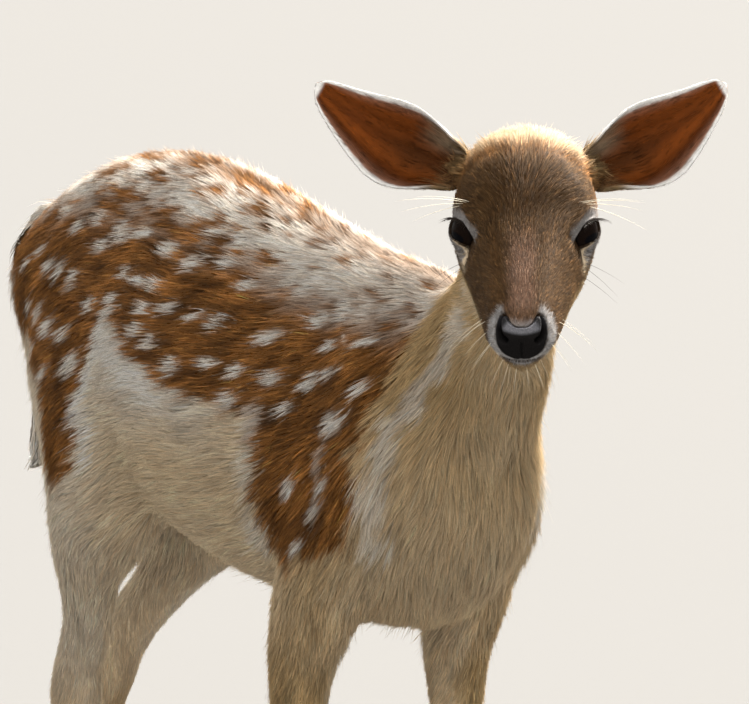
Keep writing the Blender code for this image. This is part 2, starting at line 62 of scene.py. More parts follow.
MM = 0.001
SIDES = {"left": 1, "right": -1}
FLESH = ("head", "neck", "trunk", "foreleg_left", "foreleg_right", "hindleg_left", "hindleg_right",
         "tail", "ear_left", "ear_right")
REGION = {"head": "head", "neck": "body", "trunk": "body", "tail": "tail",
          "foreleg_left": "legs", "foreleg_right": "legs", "hindleg_left": "legs",
          "hindleg_right": "legs", "ear_left": "ears", "ear_right": "ears"}
REGIONS = ("body", "legs", "head", "ears", "tail")

# ---------------------------------------------------------------- places taken from the frame


def middle(node):
    low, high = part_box(node)
    return (low + high) * 0.5


MID_X = (middle("foreleg_left").x + middle("foreleg_right").x) * 0.5
EYES = {side: middle("eye_" + side) for side in SIDES}
HEAD_MID = (EYES["left"] + EYES["right"]) * 0.5
FACE_LEFT = (EYES["left"] - EYES["right"]).normalized()
HEAD_PITCH = math.radians(19.4)
LEVEL_AHEAD = FACE_LEFT.cross(Vector((0, 0, 1)))
FACE_AHEAD = LEVEL_AHEAD * math.cos(HEAD_PITCH) - Vector((0, 0, math.sin(HEAD_PITCH)))
FACE_UP = FACE_AHEAD.cross(FACE_LEFT)
HEAD_AXES = np.array([FACE_LEFT, FACE_AHEAD, FACE_UP])
HEAD_AT = np.array(HEAD_MID) + np.array(FACE_UP) * 1.5 * MM


def to_head(places):
    """Places in the head's own frame: out to its left, ahead and up, in millimetres."""
    return (np.asarray(places) - HEAD_AT) @ HEAD_AXES.T / MM


def from_head(places):
    return np.asarray(places, float) * MM @ HEAD_AXES + HEAD_AT


def to_side(s, place):
    """A place or way on the left, carried over to the side whose sign is s."""
    return np.array((s * place[0], *place[1:]))


def folded(rows):
    """The same rows, with those on the right laid over on the left."""
    rows = np.array(rows, float)
    rows[:, 0] = np.abs(rows[:, 0])
    return rows


# ---------------------------------------------------------------- driving sizes
BODY_GRAIN = 0.004          # edge of the skin's squares on the body
SWELL = 0.0004              # how much the parts are swollen so that they fuse
COAT_ROOM = 0.85            # share of the coat's depth by which the skin is drawn in
EYE_RADIUS = 13.0           # millimetres, in the head's frame, as all sizes of the face
EYE_AT = (30.2, 0.5, -1.8)
GAZE = math.radians(48)     # the eye's axis, turned out from ahead
LID_WIDE = math.radians(50)
LID_HIGH = math.radians(25)
LID_RAISED = math.radians(20)       # the middle of the opening, above the head's level
LID_DROPS = math.radians(24)        # how much lower it lies at the front corner
LID_BEND = (2.5, 2.1)               # fullness of the opening's front and rear halves
LID_STANDS = 1.2            # how far the lid's edge stands off the eyeball
EYE_SINKS = 2.6             # how far the skin goes under the eyeball
LID_REACH = 26.0            # from the eye's middle: within it the hair parts for the lids
FACE_MID, FACE_REACH = (0, 30, 0), 120      # the ball in which the face is shaped
NOSE_HEART = (0.0, 82.0, -25.0)     # the place inside the nose from which its edge is measured
NOSE_SINKS = 6.5            # how far the skin lies under the nose leather
NOSE_FLAT = 95.0            # from here ahead the muzzle is flattened
MOUTH_LEVEL = -32.0         # height towards which the mouth's line is pressed in
MOUTH_DEEP = 1.5
EAR_LENGTH = 106.0
EAR_THICK = 1.7             # in the middle; it thins to its edges and tip
EAR_ROLL = (0.45, 2.1)      # half the angle of its curl, at tip and root
ROLL_EASE = 0.65            # how late the curl grows
EAR_FOOT = (39.0, -48.0, 13.5)
EAR_OPEN = (0.16, 0.80, 0.50)       # the way its open side faces
EAR_REACH = {"right": (0.826, -0.497, 0.264), "left": (0.740, -0.635, 0.218)}
# The ear from its tip: distance, half width, shift of its middle line; millimetres.
EAR_ROWS = [
    (0, 1.2, 0.0), (4, 6.6, 0.8), (12, 10.6, 2.4), (26, 15.6, 4.6), (39, 20.2, 5.8), (54, 24.8, 6.3),
    (65, 25.6, 6.1), (75, 23.6, 5.6), (84, 20.0, 4.2), (94, 15.5, 2.5), (106, 12.0, 1.0),
]
EAR_GRID = (84, 37)         # rows and columns
# painted glow: the inner skin grows lighter orange towards the ear's thin edges, where light comes through
EAR_EDGE_GLOW = (0.46, 0.24, 0.16)       # skin towards the ear's edges
# the white fringe on the rim, partly its own colour and partly painted glow of light through it from behind
EAR_RIM_AND_GLOW = (0.95, 0.94, 0.92)        # the fringe on its rim

# Locks of hair, by region.
LOCK_AREA = {"body": 1.62, "legs": 1.95, "head": 0.88, "ears": 1.05, "tail": 2.2}   # mm2 of skin each
RINGS = {"body": 1, "legs": 1, "head": 1, "ears": 1, "tail": 3}     # rings of corners below the tip
SLIMMING = {"body": 0.60, "legs": 0.85, "head": 0.9, "ears": 1.0, "tail": 1.0}      # share of the width
PIECE_LOCKS = {"body": 40000, "legs": 40000, "head": 40000, "ears": 40000, "tail": 11500}   # most in one
WIDEST_LOCK = 1.9           # millimetres
BARE_BELOW = 0.021          # no hair grows on the hooves, below this height
TUFT = 22                   # locks that share one tip, about
STRAYS = 0.05               # share of the locks that are thin, long and stand out
# painted shade: the skin is painted darker than the coat, for the shade under the coat
SKIN_SHADE = 0.8            # how much darker the skin is than the coat over it
HAIR_GLOW = 0.30            # share of light that comes through a lock
GLOW_TINT = (0.72, 0.60, 0.47, 1.0)
BODY_BLEND = 0.012          # how softly one stroke of the comb passes into the next, metres
HEAD_BLEND = 4.0            # the same on the head, millimetres
PATCH = 0.003               # width of a lock's patch on its map
MAP_EDGE = 0.003            # empty margin of the map
PATCHES_SPAN = 0.994 - PATCH

# How the coat is combed on the body. Place as distance from the middle plane, y and z; the way
# the hair lies; then length, depth and width of a lock in millimetres.
BODY_COMB = [
    ((0.00, -0.16, 0.575), (0.05, 1.0, -0.10), 15, 4.0, 1.6),
    ((0.00, -0.05, 0.575), (0.05, 1.0, 0.02), 16, 4.0, 1.65),
    ((0.00, 0.08, 0.595), (0.04, 1.0, 0.00), 17, 4.5, 1.7),
    ((0.00, 0.20, 0.597), (0.04, 1.0, -0.10), 17, 4.5, 1.7),
    ((0.00, 0.30, 0.570), (0.05, 1.0, -0.50), 17, 4.5, 1.7),
    ((0.04, -0.05, 0.560), (0.25, 1.0, -0.25), 16, 4.0, 1.65),
    ((0.04, 0.10, 0.585), (0.25, 1.0, -0.20), 17, 4.0, 1.65),
    ((0.04, 0.22, 0.580), (0.25, 1.0, -0.35), 17, 4.0, 1.65),
    ((0.08, -0.13, 0.500), (0.0, 0.75, -0.60), 16, 3.8, 1.6),
    ((0.08, -0.06, 0.480), (0.0, 0.85, -0.50), 16, 3.8, 1.6),
    ((0.08, -0.12, 0.430), (0.0, 0.55, -0.80), 17, 4.2, 2.0),
    ((0.08, 0.00, 0.520), (0.0, 1.0, -0.22), 17, 3.8, 1.65),
    ((0.09, 0.08, 0.510), (0.0, 1.0, -0.20), 17, 3.8, 1.65),
    ((0.08, 0.16, 0.530), (0.0, 1.0, -0.35), 17, 3.8, 1.65),
    ((0.08, 0.18, 0.470), (0.0, 0.80, -0.60), 17, 3.8, 1.65),
    ((0.07, 0.24, 0.520), (0.0, 0.75, -0.70), 17, 3.8, 1.65),
    ((0.06, 0.26, 0.440), (0.0, 0.35, -0.95), 18, 4.5, 2.1),
    ((0.07, 0.20, 0.410), (0.0, 0.40, -0.90), 18, 4.5, 2.1),
    ((0.02, 0.33, 0.480), (0.1, 0.25, -1.0), 19, 5.0, 2.2),
    ((0.08, 0.00, 0.440), (0.0, 1.0, -0.12), 22, 6.0, 2.3),
    ((0.08, 0.09, 0.430), (0.0, 1.0, -0.18), 23, 6.0, 2.3),
    ((0.07, 0.13, 0.400), (0.0, 0.80, -0.50), 23, 6.0, 2.3),
    ((0.05, 0.00, 0.370), (0.0, 1.0, -0.10), 25, 7.0, 2.4),
    ((0.00, 0.00, 0.345), (0.0, 1.0, -0.10), 26, 7.0, 2.4),
    ((0.00, 0.10, 0.355), (0.0, 1.0, -0.15), 26, 7.0, 2.4),
    ((0.02, 0.18, 0.380), (0.0, 0.80, -0.60), 24, 6.5, 2.3),
    ((0.00, -0.10, 0.345), (0.0, 0.9, -0.40), 25, 7.0, 2.4),
    ((0.00, -0.17, 0.380), (0.0, 0.35, -0.9), 26, 7.5, 2.4),
    ((0.05, -0.18, 0.420), (0.1, 0.35, -0.9), 24, 6.0, 2.3),
    ((0.00, -0.22, 0.450), (0.0, 0.15, -1.0), 22, 5.5, 2.3),
    ((0.05, -0.20, 0.500), (0.0, 0.50, -0.85), 20, 4.8, 2.1),
    ((0.00, -0.25, 0.520), (0.0, 0.20, -1.0), 18, 4.5, 2.0),
    ((0.04, -0.22, 0.560), (0.1, 0.55, -0.80), 17, 4.0, 1.65),
    ((0.00, -0.18, 0.600), (0.0, 0.85, -0.55), 15, 4.0, 1.6),
    ((0.03, -0.26, 0.570), (0.1, 0.45, -0.90), 15, 3.6, 1.9),
    ((0.06, -0.10, 0.370), (0.0, 0.30, -0.95), 15, 3.6, 1.9),
    ((0.05, -0.10, 0.300), (0.0, 0.20, -1.0), 10, 2.2, 1.6),
    ((0.05, -0.10, 0.200), (0.0, 0.12, -1.0), 8, 1.6, 1.4),
    ((0.05, -0.10, 0.080), (0.0, 0.12, -1.0), 7, 1.5, 1.3),
    ((0.06, 0.20, 0.340), (0.0, 0.25, -0.95), 13, 3.0, 1.8),
    ((0.06, 0.25, 0.260), (0.0, 0.20, -1.0), 9, 2.0, 1.5),
    ((0.05, 0.32, 0.220), (0.0, 0.15, -1.0), 8, 1.7, 1.4),
    ((0.05, 0.28, 0.080), (0.0, 0.12, -1.0), 7, 1.5, 1.3),
    ((0.00, 0.36, 0.520), (0.1, 0.25, -1.0), 22, 5.0, 2.0),
    ((0.00, 0.38, 0.440), (0.1, 0.10, -1.0), 30, 5.0, 2.2),
    ((0.00, 0.37, 0.380), (0.0, 0.05, -1.0), 34, 5.0, 2.4),
]
# The same on the head: out, ahead and up in millimetres.
HEAD_COMB = [
    ((0, 90, -12), (0.1, -1.0, 0.2), 2.6, 0.7, 0.8),
    ((0, 60, 2), (0.05, -1.0, 0.2), 3.4, 0.8, 0.9),
    ((0, 30, 14), (0.05, -1.0, 0.4), 4.0, 0.9, 0.9),
    ((16, 60, -8), (0.2, -1.0, 0.0), 3.4, 0.8, 0.9),
    ((22, 70, -24), (0.1, -1.0, -0.1), 3.4, 0.8, 0.9),
    ((14, 92, -30), (0.3, -1.0, -0.2), 2.6, 0.8, 0.8),
    ((0, 100, -40), (0.0, -0.6, -0.8), 3.0, 0.8, 0.8),
    ((0, 85, -50), (0.0, -1.0, -0.2), 6.0, 1.4, 1.1),
    ((18, 60, -48), (0.0, -1.0, -0.2), 6.0, 1.2, 1.1),
    ((28, 45, -25), (0.1, -1.0, -0.1), 4.5, 1.0, 1.0),
    ((36, 25, -20), (0.1, -1.0, -0.25), 5.5, 1.1, 1.1),
    ((0, 8, 27), (0.0, -0.6, 1.0), 5.0, 1.2, 1.0),
    ((14, 4, 27), (0.8, -0.6, 0.6), 6.0, 1.4, 1.1),
    ((0, -15, 36), (0.0, -1.0, 0.5), 9.0, 2.2, 1.3),
    ((18, -15, 34), (0.6, -1.0, 0.4), 8.0, 1.8, 1.3),
    ((0, -36, 42), (0.0, -1.0, 0.7), 12.0, 4.5, 1.4),
    ((12, -34, 40), (0.3, -1.0, 0.5), 10.0, 3.2, 1.3),
    ((25, -32, 32), (0.7, -0.9, 0.5), 12.0, 5.5, 1.3),
    ((34, -44, 22), (1.0, -0.4, 0.3), 11.0, 4.0, 1.3),
    ((40, -50, 12), (1.0, -0.2, 0.1), 10.0, 2.6, 1.2),
    ((34, -40, 2), (1.0, -0.3, -0.1), 10.0, 2.4, 1.2),
    ((38, -60, 6), (0.8, -0.8, -0.3), 10.0, 2.4, 1.3),
    ((0, -62, 34), (0.0, -0.8, -0.4), 11.0, 2.6, 1.4),
    ((30, 0, 20), (0.9, -0.8, 0.2), 5.0, 1.1, 1.0),
    ((44, -14, 6), (0.3, -1.0, 0.0), 5.5, 1.2, 1.1),
    ((42, -25, -12), (0.1, -1.0, -0.25), 7.0, 1.4, 1.2),
    ((36, -30, -40), (0.0, -0.8, -0.6), 9.0, 2.0, 1.3),
    ((34, 0, -40), (0.0, -1.0, -0.4), 7.0, 1.4, 1.2),
    ((0, 20, -60), (0.0, -1.0, -0.1), 9.0, 2.0, 1.4),
    ((0, -40, -64), (0.0, -0.9, -0.5), 12.0, 3.0, 1.6),
    ((34, -60, 0), (0.1, -0.9, -0.5), 10.0, 2.4, 1.4),
]

# ---------------------------------------------------------------- the markings' outlines (y, z)
RUST_EDGE = [
    (-0.225, 0.640), (-0.196, 0.560), (-0.172, 0.512), (-0.157, 0.475), (-0.162, 0.440),
    (-0.155, 0.412), (-0.125, 0.398), (-0.085, 0.386), (-0.060, 0.390), (-0.056, 0.425),
    (-0.050, 0.466), (0.000, 0.473), (0.050, 0.477), (0.100, 0.491), (0.127, 0.508),
    (0.142, 0.482), (0.157, 0.456), (0.153, 0.438), (0.148, 0.416), (0.162, 0.400),
    (0.195, 0.398), (0.208, 0.420), (0.218, 0.448), (0.236, 0.462), (0.262, 0.470),
    (0.300, 0.480), (0.360, 0.500), (0.400, 0.800), (-0.200, 0.800),
]
# Pale lines: their points, half width in millimetres, and strength.
PALE_LINES = [
    ([(0.122, 0.512), (0.137, 0.484), (0.152, 0.456), (0.148, 0.440), (0.140, 0.415)], 6, 1.0),
    ([(0.040, 0.466), (0.085, 0.474), (0.120, 0.496)], 9, 0.95),
    ([(-0.262, 0.590), (-0.215, 0.525), (-0.180, 0.486), (-0.170, 0.450), (-0.170, 0.415)], 6.5, 0.62),
    ([(-0.052, 0.470), (-0.049, 0.430), (-0.052, 0.390)], 6, 0.55),
    ([(-0.140, 0.556), (-0.100, 0.552), (-0.060, 0.545)], 2.5, 0.5),
    ([(-0.135, 0.480), (-0.122, 0.455), (-0.128, 0.425)], 4, 0.5),
]
# White spots on the right side: y, z, length and height in millimetres.
SPOTS = [
    (0.100, 0.579, 17, 8), (0.072, 0.573, 15, 8), (0.046, 0.566, 15, 7), (0.118, 0.559, 14, 8),
    (0.140, 0.558, 14, 8), (0.080, 0.550, 17, 8), (0.050, 0.547, 13, 7), (0.020, 0.552, 14, 7),
    (0.117, 0.536, 12, 8), (0.098, 0.531, 12, 8), (0.078, 0.530, 12, 8), (0.055, 0.520, 15, 8),
    (0.080, 0.515, 14, 8), (0.026, 0.520, 12, 7), (0.004, 0.517, 11, 7), (0.124, 0.517, 12, 8),
    (0.155, 0.511, 14, 9), (0.186, 0.522, 14, 8), (0.212, 0.529, 15, 8), (0.232, 0.529, 13, 8),
    (0.252, 0.536, 12, 7), (0.276, 0.524, 12, 7), (0.084, 0.502, 12, 8), (0.064, 0.496, 13, 8),
    (0.000, 0.491, 11, 8), (0.033, 0.488, 17, 11), (-0.028, 0.495, 12, 7), (0.236, 0.497, 14, 9),
    (0.211, 0.490, 15, 11), (0.188, 0.488, 14, 9), (0.173, 0.472, 18, 12), (0.212, 0.461, 13, 9),
    (-0.028, 0.476, 16, 9), (-0.046, 0.518, 18, 7), (-0.138, 0.526, 12, 7), (-0.107, 0.521, 14, 7),
    (-0.117, 0.505, 13, 8), (-0.096, 0.497, 13, 8), (-0.148, 0.503, 12, 7), (-0.088, 0.531, 14, 7),
    (-0.062, 0.494, 13, 8), (-0.134, 0.479, 18, 10), (-0.079, 0.479, 13, 8), (-0.131, 0.444, 13, 8),
    (-0.121, 0.424, 13, 8), (-0.090, 0.436, 14, 8), (-0.105, 0.402, 12, 8), (0.160, 0.545, 13, 8),
    (0.180, 0.560, 13, 8), (0.205, 0.556, 13, 8), (0.235, 0.560, 12, 7), (-0.010, 0.540, 14, 7),
    (0.262, 0.500, 11, 7), (0.245, 0.478, 12, 8),
]
ROW_STEP = 0.021            # spacing of the row of spots beside the spine
ROW_OUT = 0.030             # its distance from the spine
# The edge of the nose's leather and the nostril's slit, on the left half: the angles, across and up
# in degrees, at which they are seen from inside the nose.
NOSE_EDGE = [(0, 44), (20, 43), (42, 47), (66, 55), (88, 55), (86, 40), (67, 18), (51, -5), (37, -22),
             (19, -32), (0, -34)]
NOSTRIL = [(80, 50), (72, 38), (57, 24), (44, 12), (34, 8)]
NOSTRIL_WIDE = 6.5
# Lines of the face, ahead and up in millimetres: the mouth, and the groove from the eye's front
# corner as it is pressed in and as it is coloured.
MOUTH = [(102, -37.5), (96, -37.0), (88, -35.5), (75, -34.5), (56, -33.5)]
MOUTH_TONE = MOUTH[:-1] + [(58, -33.5)]
TEAR = [(14, -4), (18, -9), (21, -14)]
TEAR_TONE = [(13, -4), (18, -9), (23, -15)]


# ---------------------------------------------------------------- settings
def colour(name, value, description):
    return bpy.props.FloatVectorProperty(name=name, description=description, default=value,
                                         size=3, min=0.0, max=1.0, subtype="COLOR")


class FawnSettings(bpy.types.PropertyGroup):
    density: bpy.props.FloatProperty(name="Coat density", default=1.0, min=0.02, max=1.2,
                                     description="Share of the full number of locks", subtype="FACTOR")
    length: bpy.props.FloatProperty(name="Lock length", default=1.0, min=0.3, max=1.5,
                                    description="Length of the locks against the usual", subtype="FACTOR")
    rust: colour("Rust", (0.225, 0.095, 0.025), "Back and sides")
    dark: colour("Dark", (0.040, 0.019, 0.006), "Spine, roots and forehead")
    white: colour("White", (0.86, 0.80, 0.72), "Spots and lines")
    cream: colour("Cream", (0.74, 0.585, 0.395), "Belly and insides of the legs")
    tan: colour("Tan", (0.580, 0.400, 0.200), "Neck, chest and legs")
    face: colour("Face", (0.080, 0.0435, 0.018), "Cheeks and brow")
    bridge: colour("Bridge", (0.195, 0.113, 0.076), "Bridge of the nose")
    grey: colour("Grey", (0.270, 0.262, 0.262), "Lids and ring of the nose")
    # the inner ear's red is partly its own colour and partly painted glow of light through the ear
    ear: colour("Inner ear", (0.150, 0.036, 0.004), "Bare inside of the ears")
    floor: colour("Floor", (0.150, 0.150, 0.150), "Studio floor")


def settings():
    return bpy.context.scene.fawn


# ---------------------------------------------------------------- arithmetic on many places at once
def step(low, high, value):
    """0 below low, 1 above high, and smooth between. With high under low it falls instead."""
    t = np.clip((np.asarray(value, float) - low) / (high - low), 0, 1)
    return t * t * (3 - 2 * t)


def unit(rows):
    rows = np.asarray(rows, float)
    return rows / np.maximum(np.linalg.norm(rows, axis=-1, keepdims=True), 1e-9)


def flat_on(ways, normals):
    """Ways laid in the surface."""
    ways = ways - normals * (ways * normals).sum(1)[:, None]
    return unit(ways)


def ripple(places, size, seed, waves=10):
    """Smooth noise of about -1 to 1, with lumps of about the given size."""
    draw = np.random.default_rng(seed)
    total = 0
    for _ in range(waves):
        way = unit(draw.normal(size=3)) * (2 * math.pi / size) * draw.uniform(0.45, 1.1)
        total = total + np.sin(places @ way + draw.uniform(0, 6.28))
    return total / math.sqrt(waves) * 0.9


def mix(first, second, share):
    share = np.asarray(share)[..., None]
    return first * (1 - share) + np.asarray(second) * share


def line_distance(flat, points):
    """Distance of 2-D places from a line of points."""
    best = np.full(len(flat), 9.0)
    for a, b in zip(np.array(points[:-1], float), np.array(points[1:], float)):
        along = b - a
        t = np.clip(((flat - a) @ along) / (along @ along), 0, 1)
        best = np.minimum(best, np.linalg.norm(flat - a - t[:, None] * along, axis=1))
    return best


def inside_distance(flat, outline):
    """Distance from a closed outline, positive inside it."""
    points = np.array(outline, float)
    inside = np.zeros(len(flat), bool)
    y, z = flat.T
    for a, b in zip(points, np.roll(points, -1, axis=0)):
        crosses = (a[1] > z) != (b[1] > z)
        at = a[0] + (z - a[1]) * (b[0] - a[0]) / (b[1] - a[1] if b[1] != a[1] else 1e-9)
        inside ^= crosses & (y < at)
    distance = line_distance(flat, list(outline) + [outline[0]])
    return np.where(inside, distance, -distance)


def blended(places, comb, sharp):
    """Way, length, depth and width of the coat, from the nearest strokes of the comb."""
    at = np.array([row[0] for row in comb], float)
    way = unit([row[1] for row in comb])
    rest = np.array([row[2:] for row in comb], float)
    weight = 1 / (((places[:, None] - at) ** 2).sum(2) + sharp ** 2) ** 2.2
    weight /= weight.sum(1)[:, None]
    return weight @ way, weight @ rest


# ---------------------------------------------------------------- meshes as arrays
def points_of(mesh):
    co = np.empty(len(mesh.vertices) * 3, np.float32)
    mesh.vertices.foreach_get("co", co)
    return co.reshape(-1, 3).astype(float)


def normals_of(mesh):
    co = np.empty(len(mesh.vertices) * 3, np.float32)
    mesh.vertex_normals.foreach_get("vector", co)
    return co.reshape(-1, 3).astype(float)


def set_points(mesh, places):
    mesh.vertices.foreach_set("co", np.asarray(places, np.float32).ravel())
    mesh.update()


def triangles_of(mesh):
    mesh.calc_loop_triangles()
    tri = np.empty(len(mesh.loop_triangles) * 3, np.int32)
    mesh.loop_triangles.foreach_get("vertices", tri)
    return tri.reshape(-1, 3)


def pull_together(mesh, pulls, share):
    """Moves each vertex towards its neighbours' mean, once for each pull and by its own share."""
    places = points_of(mesh)
    edges = np.empty(len(mesh.edges) * 2, np.int32)
    mesh.edges.foreach_get("vertices", edges)
    a, b = edges.reshape(-1, 2).T
    ends, starts = np.concatenate((a, b)), np.concatenate((b, a))
    count = np.maximum(np.bincount(ends, minlength=len(places)), 1)
    for pull in pulls:
        for axis in range(3):
            mean = np.bincount(ends, places[starts, axis], len(places)) / count
            places[:, axis] += (mean - places[:, axis]) * pull * share
    set_points(mesh, places)


def relax(mesh, rounds, share=1.0):
    """Evens the surface without shrinking it. share is how much each vertex takes part."""
    pull_together(mesh, (0.5, -0.52) * rounds, share)


def melt(mesh, rounds, share):
    """Smooths the surface where share is high, filling its creases."""
    pull_together(mesh, (0.5,) * rounds, share)


def face_out(mesh):
    """Turns all the faces of a closed mesh outwards."""
    form = bmesh.new()
    form.from_mesh(mesh)
    bmesh.ops.recalc_face_normals(form, faces=form.faces)
    form.to_mesh(mesh)
    form.free()


def prism_sides(rings):
    """The side faces of a three-sided tube, whose corners come ring by ring."""
    faces = []
    for first in range(0, (rings - 1) * 3, 3):
        for k in range(3):
            p, q = first + k, first + (k + 1) % 3
            faces += [(p, q, q + 3), (p, q + 3, p + 3)]
    return faces


def new_object(name, mesh):
    obj = bpy.data.objects.new(name, mesh)
    bpy.context.collection.objects.link(obj)
    return obj


def only(obj):
    """Selects this object alone."""
    bpy.ops.object.select_all(action="DESELECT")
    obj.select_set(True)
    bpy.context.view_layer.objects.active = obj


def mesh_from(name, places, faces):
    """A mesh from arrays: faces is an array of triangles or quads."""
    mesh = bpy.data.meshes.new(name)
    mesh.vertices.add(len(places))
    mesh.vertices.foreach_set("co", np.asarray(places, np.float32).ravel())
    sides = faces.shape[1]
    mesh.loops.add(faces.size)
    mesh.loops.foreach_set("vertex_index", faces.astype(np.int32).ravel())
    mesh.polygons.add(len(faces))
    mesh.polygons.foreach_set("loop_start", np.arange(0, faces.size, sides, dtype=np.int32))
    mesh.polygons.foreach_set("use_smooth", np.ones(len(faces), bool))
    mesh.update(calc_edges=True)
    return mesh


def paint(mesh, name, colours):
    """A colour for each vertex."""
    layer = mesh.attributes.get(name) or mesh.attributes.new(name, "FLOAT_COLOR", "POINT")
    full = np.ones((len(colours), 4), np.float32)
    full[:, :3] = np.clip(colours, 0, 1)
    layer.data.foreach_set("color", full.ravel())


def note(mesh, name, vectors):
    """A vector for each vertex."""
    layer = mesh.attributes.new(name, "FLOAT_VECTOR", "POINT")
    layer.data.foreach_set("vector", np.asarray(vectors, np.float32).ravel())


def finish_piece(obj, material, replaced=()):
    obj.data.materials.clear()
    obj.data.materials.append(material)
    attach(obj, "root")
    if replaced:
        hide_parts(*replaced)


def flesh_copy(name, nodes, swell):
    """The named solids in one mesh, merged, each swollen a little."""
    form = bmesh.new()
    for node in nodes:
        form.from_mesh(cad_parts[node].data)
    bmesh.ops.remove_doubles(form, verts=form.verts, dist=1e-6)
    form.normal_update()
    mesh = bpy.data.meshes.new(name)
    form.to_mesh(mesh)
    form.free()
    set_points(mesh, points_of(mesh) + normals_of(mesh) * swell)
    return mesh


def surface_of(mesh):
    return BVHTree.FromPolygons(points_of(mesh).tolist(), triangles_of(mesh).tolist())


def nearest_node(places):
    """For each place, the number in FLESH of the solid that it lies on."""
    corners, faces, owner = [], [], []
    total = 0
    for number, node in enumerate(FLESH):
        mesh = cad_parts[node].data
        tri = triangles_of(mesh)
        corners.append(points_of(mesh))
        faces.append(tri + total)
        owner += [number] * len(tri)
        total += len(corners[-1])
    tree = BVHTree.FromPolygons(np.concatenate(corners).tolist(), np.concatenate(faces).tolist())
    return np.array([owner[tree.find_nearest(place)[2]] for place in places.tolist()])


# ---------------------------------------------------------------- the face's shape
def eye_axes(side):
    """The way one eye looks, and the level way from there to its rear corner."""
    s, ahead, out = SIDES[side], math.cos(GAZE), math.sin(GAZE)
    return to_side(s, (out, ahead, 0.0)), to_side(s, (ahead, -out, 0.0))


def lid_measure(head_places, side):
    """How far out of the eye's opening a place lies: 1 on the lid's edge. Also its height angle."""
    way = unit(head_places - to_side(SIDES[side], EYE_AT))
    gaze, back = eye_axes(side)
    across = np.arctan2(way @ back, way @ gaze) / LID_WIDE
    front = np.clip(-across, 0, 1.5)
    height = np.arcsin(np.clip(way[:, 2], -1, 1)) - LID_RAISED + LID_DROPS * np.clip(front, 0, 1) ** 2
    tall = np.abs(height) / LID_HIGH
    bend = np.where(across < 0, LID_BEND[0], LID_BEND[1])
    return (np.abs(across) ** bend + tall ** bend) ** (1 / bend), height


def eye_distance(head_places, side):
    return np.linalg.norm(head_places - to_side(SIDES[side], EYE_AT), axis=1)


def shape_eye(head_places, side):
    """Opens the lids round one eyeball and folds the skin about them."""
    far = eye_distance(head_places, side)
    opening, height = lid_measure(head_places, side)
    near = (far < 27) & (opening < 2.3)
    eye = to_side(SIDES[side], EYE_AT)
    out, r, q, up = head_places[near] - eye, far[near], opening[near], height[near]
    rim = EYE_RADIUS - EYE_SINKS + (EYE_SINKS + LID_STANDS) * step(0.94, 1.05, q)
    r_new = rim + (r - rim) * step(1.10, 1.75, q)
    r_new += 0.5 * np.exp(-((q - 1.14) / 0.07) ** 2)
    r_new -= 0.8 * np.exp(-((q - 1.36) / 0.06) ** 2) * (up > 0)
    r_new -= 0.5 * np.exp(-((q - 1.40) / 0.07) ** 2) * (up <= 0)
    moved = head_places.copy()
    moved[near] = eye + out * (r_new / r)[:, None]
    return moved


def shape_face(head_places):
    """Flattens the nose, and presses in the mouth's line and the tear grooves."""
    places = head_places.copy()
    ahead = places[:, 1]
    tip = step(-50, -40, places[:, 2])
    places[:, 1] = np.where(ahead > NOSE_FLAT, NOSE_FLAT + (ahead - NOSE_FLAT) * (1 - 0.55 * tip), ahead)
    gap = line_distance(places[:, 1:], MOUTH)
    groove = np.exp(-(gap / 1.15) ** 2) * step(50, 60, places[:, 1])
    inward = unit(np.array((0, 0, MOUTH_LEVEL)) - places * (1, 0, 1))
    places += inward * (MOUTH_DEEP * groove)[:, None]
    sunk = step(1.0, 0.86, nose_measure(places)) * NOSE_SINKS
    places += unit(np.array(NOSE_HEART) - places) * sunk[:, None]
    for s in SIDES.values():
        tear = line_distance(places[:, 1:], TEAR)
        tear = np.hypot(tear, np.clip(6 - s * places[:, 0] + 12, 0, 40) * 0.4)
        press = np.exp(-(tear / 1.6) ** 2) * (s * places[:, 0] > 14)
        places += unit(np.array((0, 5.0, -10.0)) - places) * press[:, None]
    return places


# ---------------------------------------------------------------- ears
def ear_leaf(side, rows=EAR_GRID[0], columns=EAR_GRID[1]):
    """The ear's middle surface as a grid, and its normals towards the open side, in metres."""
    s = SIDES[side]
    root = from_head(to_side(s, EAR_FOOT))
    reach = unit(to_side(s, EAR_REACH[side]) @ HEAD_AXES)
    open_to = to_side(s, EAR_OPEN) @ HEAD_AXES
    open_to = unit(open_to - reach * (open_to @ reach))
    across = np.cross(reach, open_to) * -s
    table = np.array(EAR_ROWS, float)
    distance = EAR_LENGTH * np.linspace(0.0, 1.0, rows) ** 1.15
    half = np.interp(distance, table[:, 0], table[:, 1])
    shift = np.interp(distance, table[:, 0], table[:, 2])
    for _ in range(3):
        half[2:-1] = (half[1:-2] + half[2:-1] * 2 + half[3:]) / 4
        shift[1:-1] = (shift[:-2] + shift[1:-1] * 2 + shift[2:]) / 4
    t = distance / EAR_LENGTH
    curl = EAR_ROLL[0] + (EAR_ROLL[1] - EAR_ROLL[0]) * ((1 - ROLL_EASE) * t + ROLL_EASE * t * t)
    radius = half / np.sin(np.minimum(curl, math.pi / 2))
    share = np.linspace(-1, 1, columns)
    angle = curl[:, None] * share
    deep = radius[:, None] * (np.cos(curl)[:, None] - np.cos(angle))
    aside = radius[:, None] * np.sin(angle) - shift[:, None]
    grid = (root + reach * ((EAR_LENGTH - distance) * MM)[:, None, None]
            + across * (aside * MM)[..., None] + open_to * (deep * MM)[..., None])
    face = np.cross(np.gradient(grid, axis=0), np.gradient(grid, axis=1))
    face = unit(face)
    towards = np.cos(angle)[..., None] * open_to - np.sin(angle)[..., None] * across
    face *= np.where((face * towards).sum(2) < 0, -1, 1)[..., None]
    return grid, face, t, share


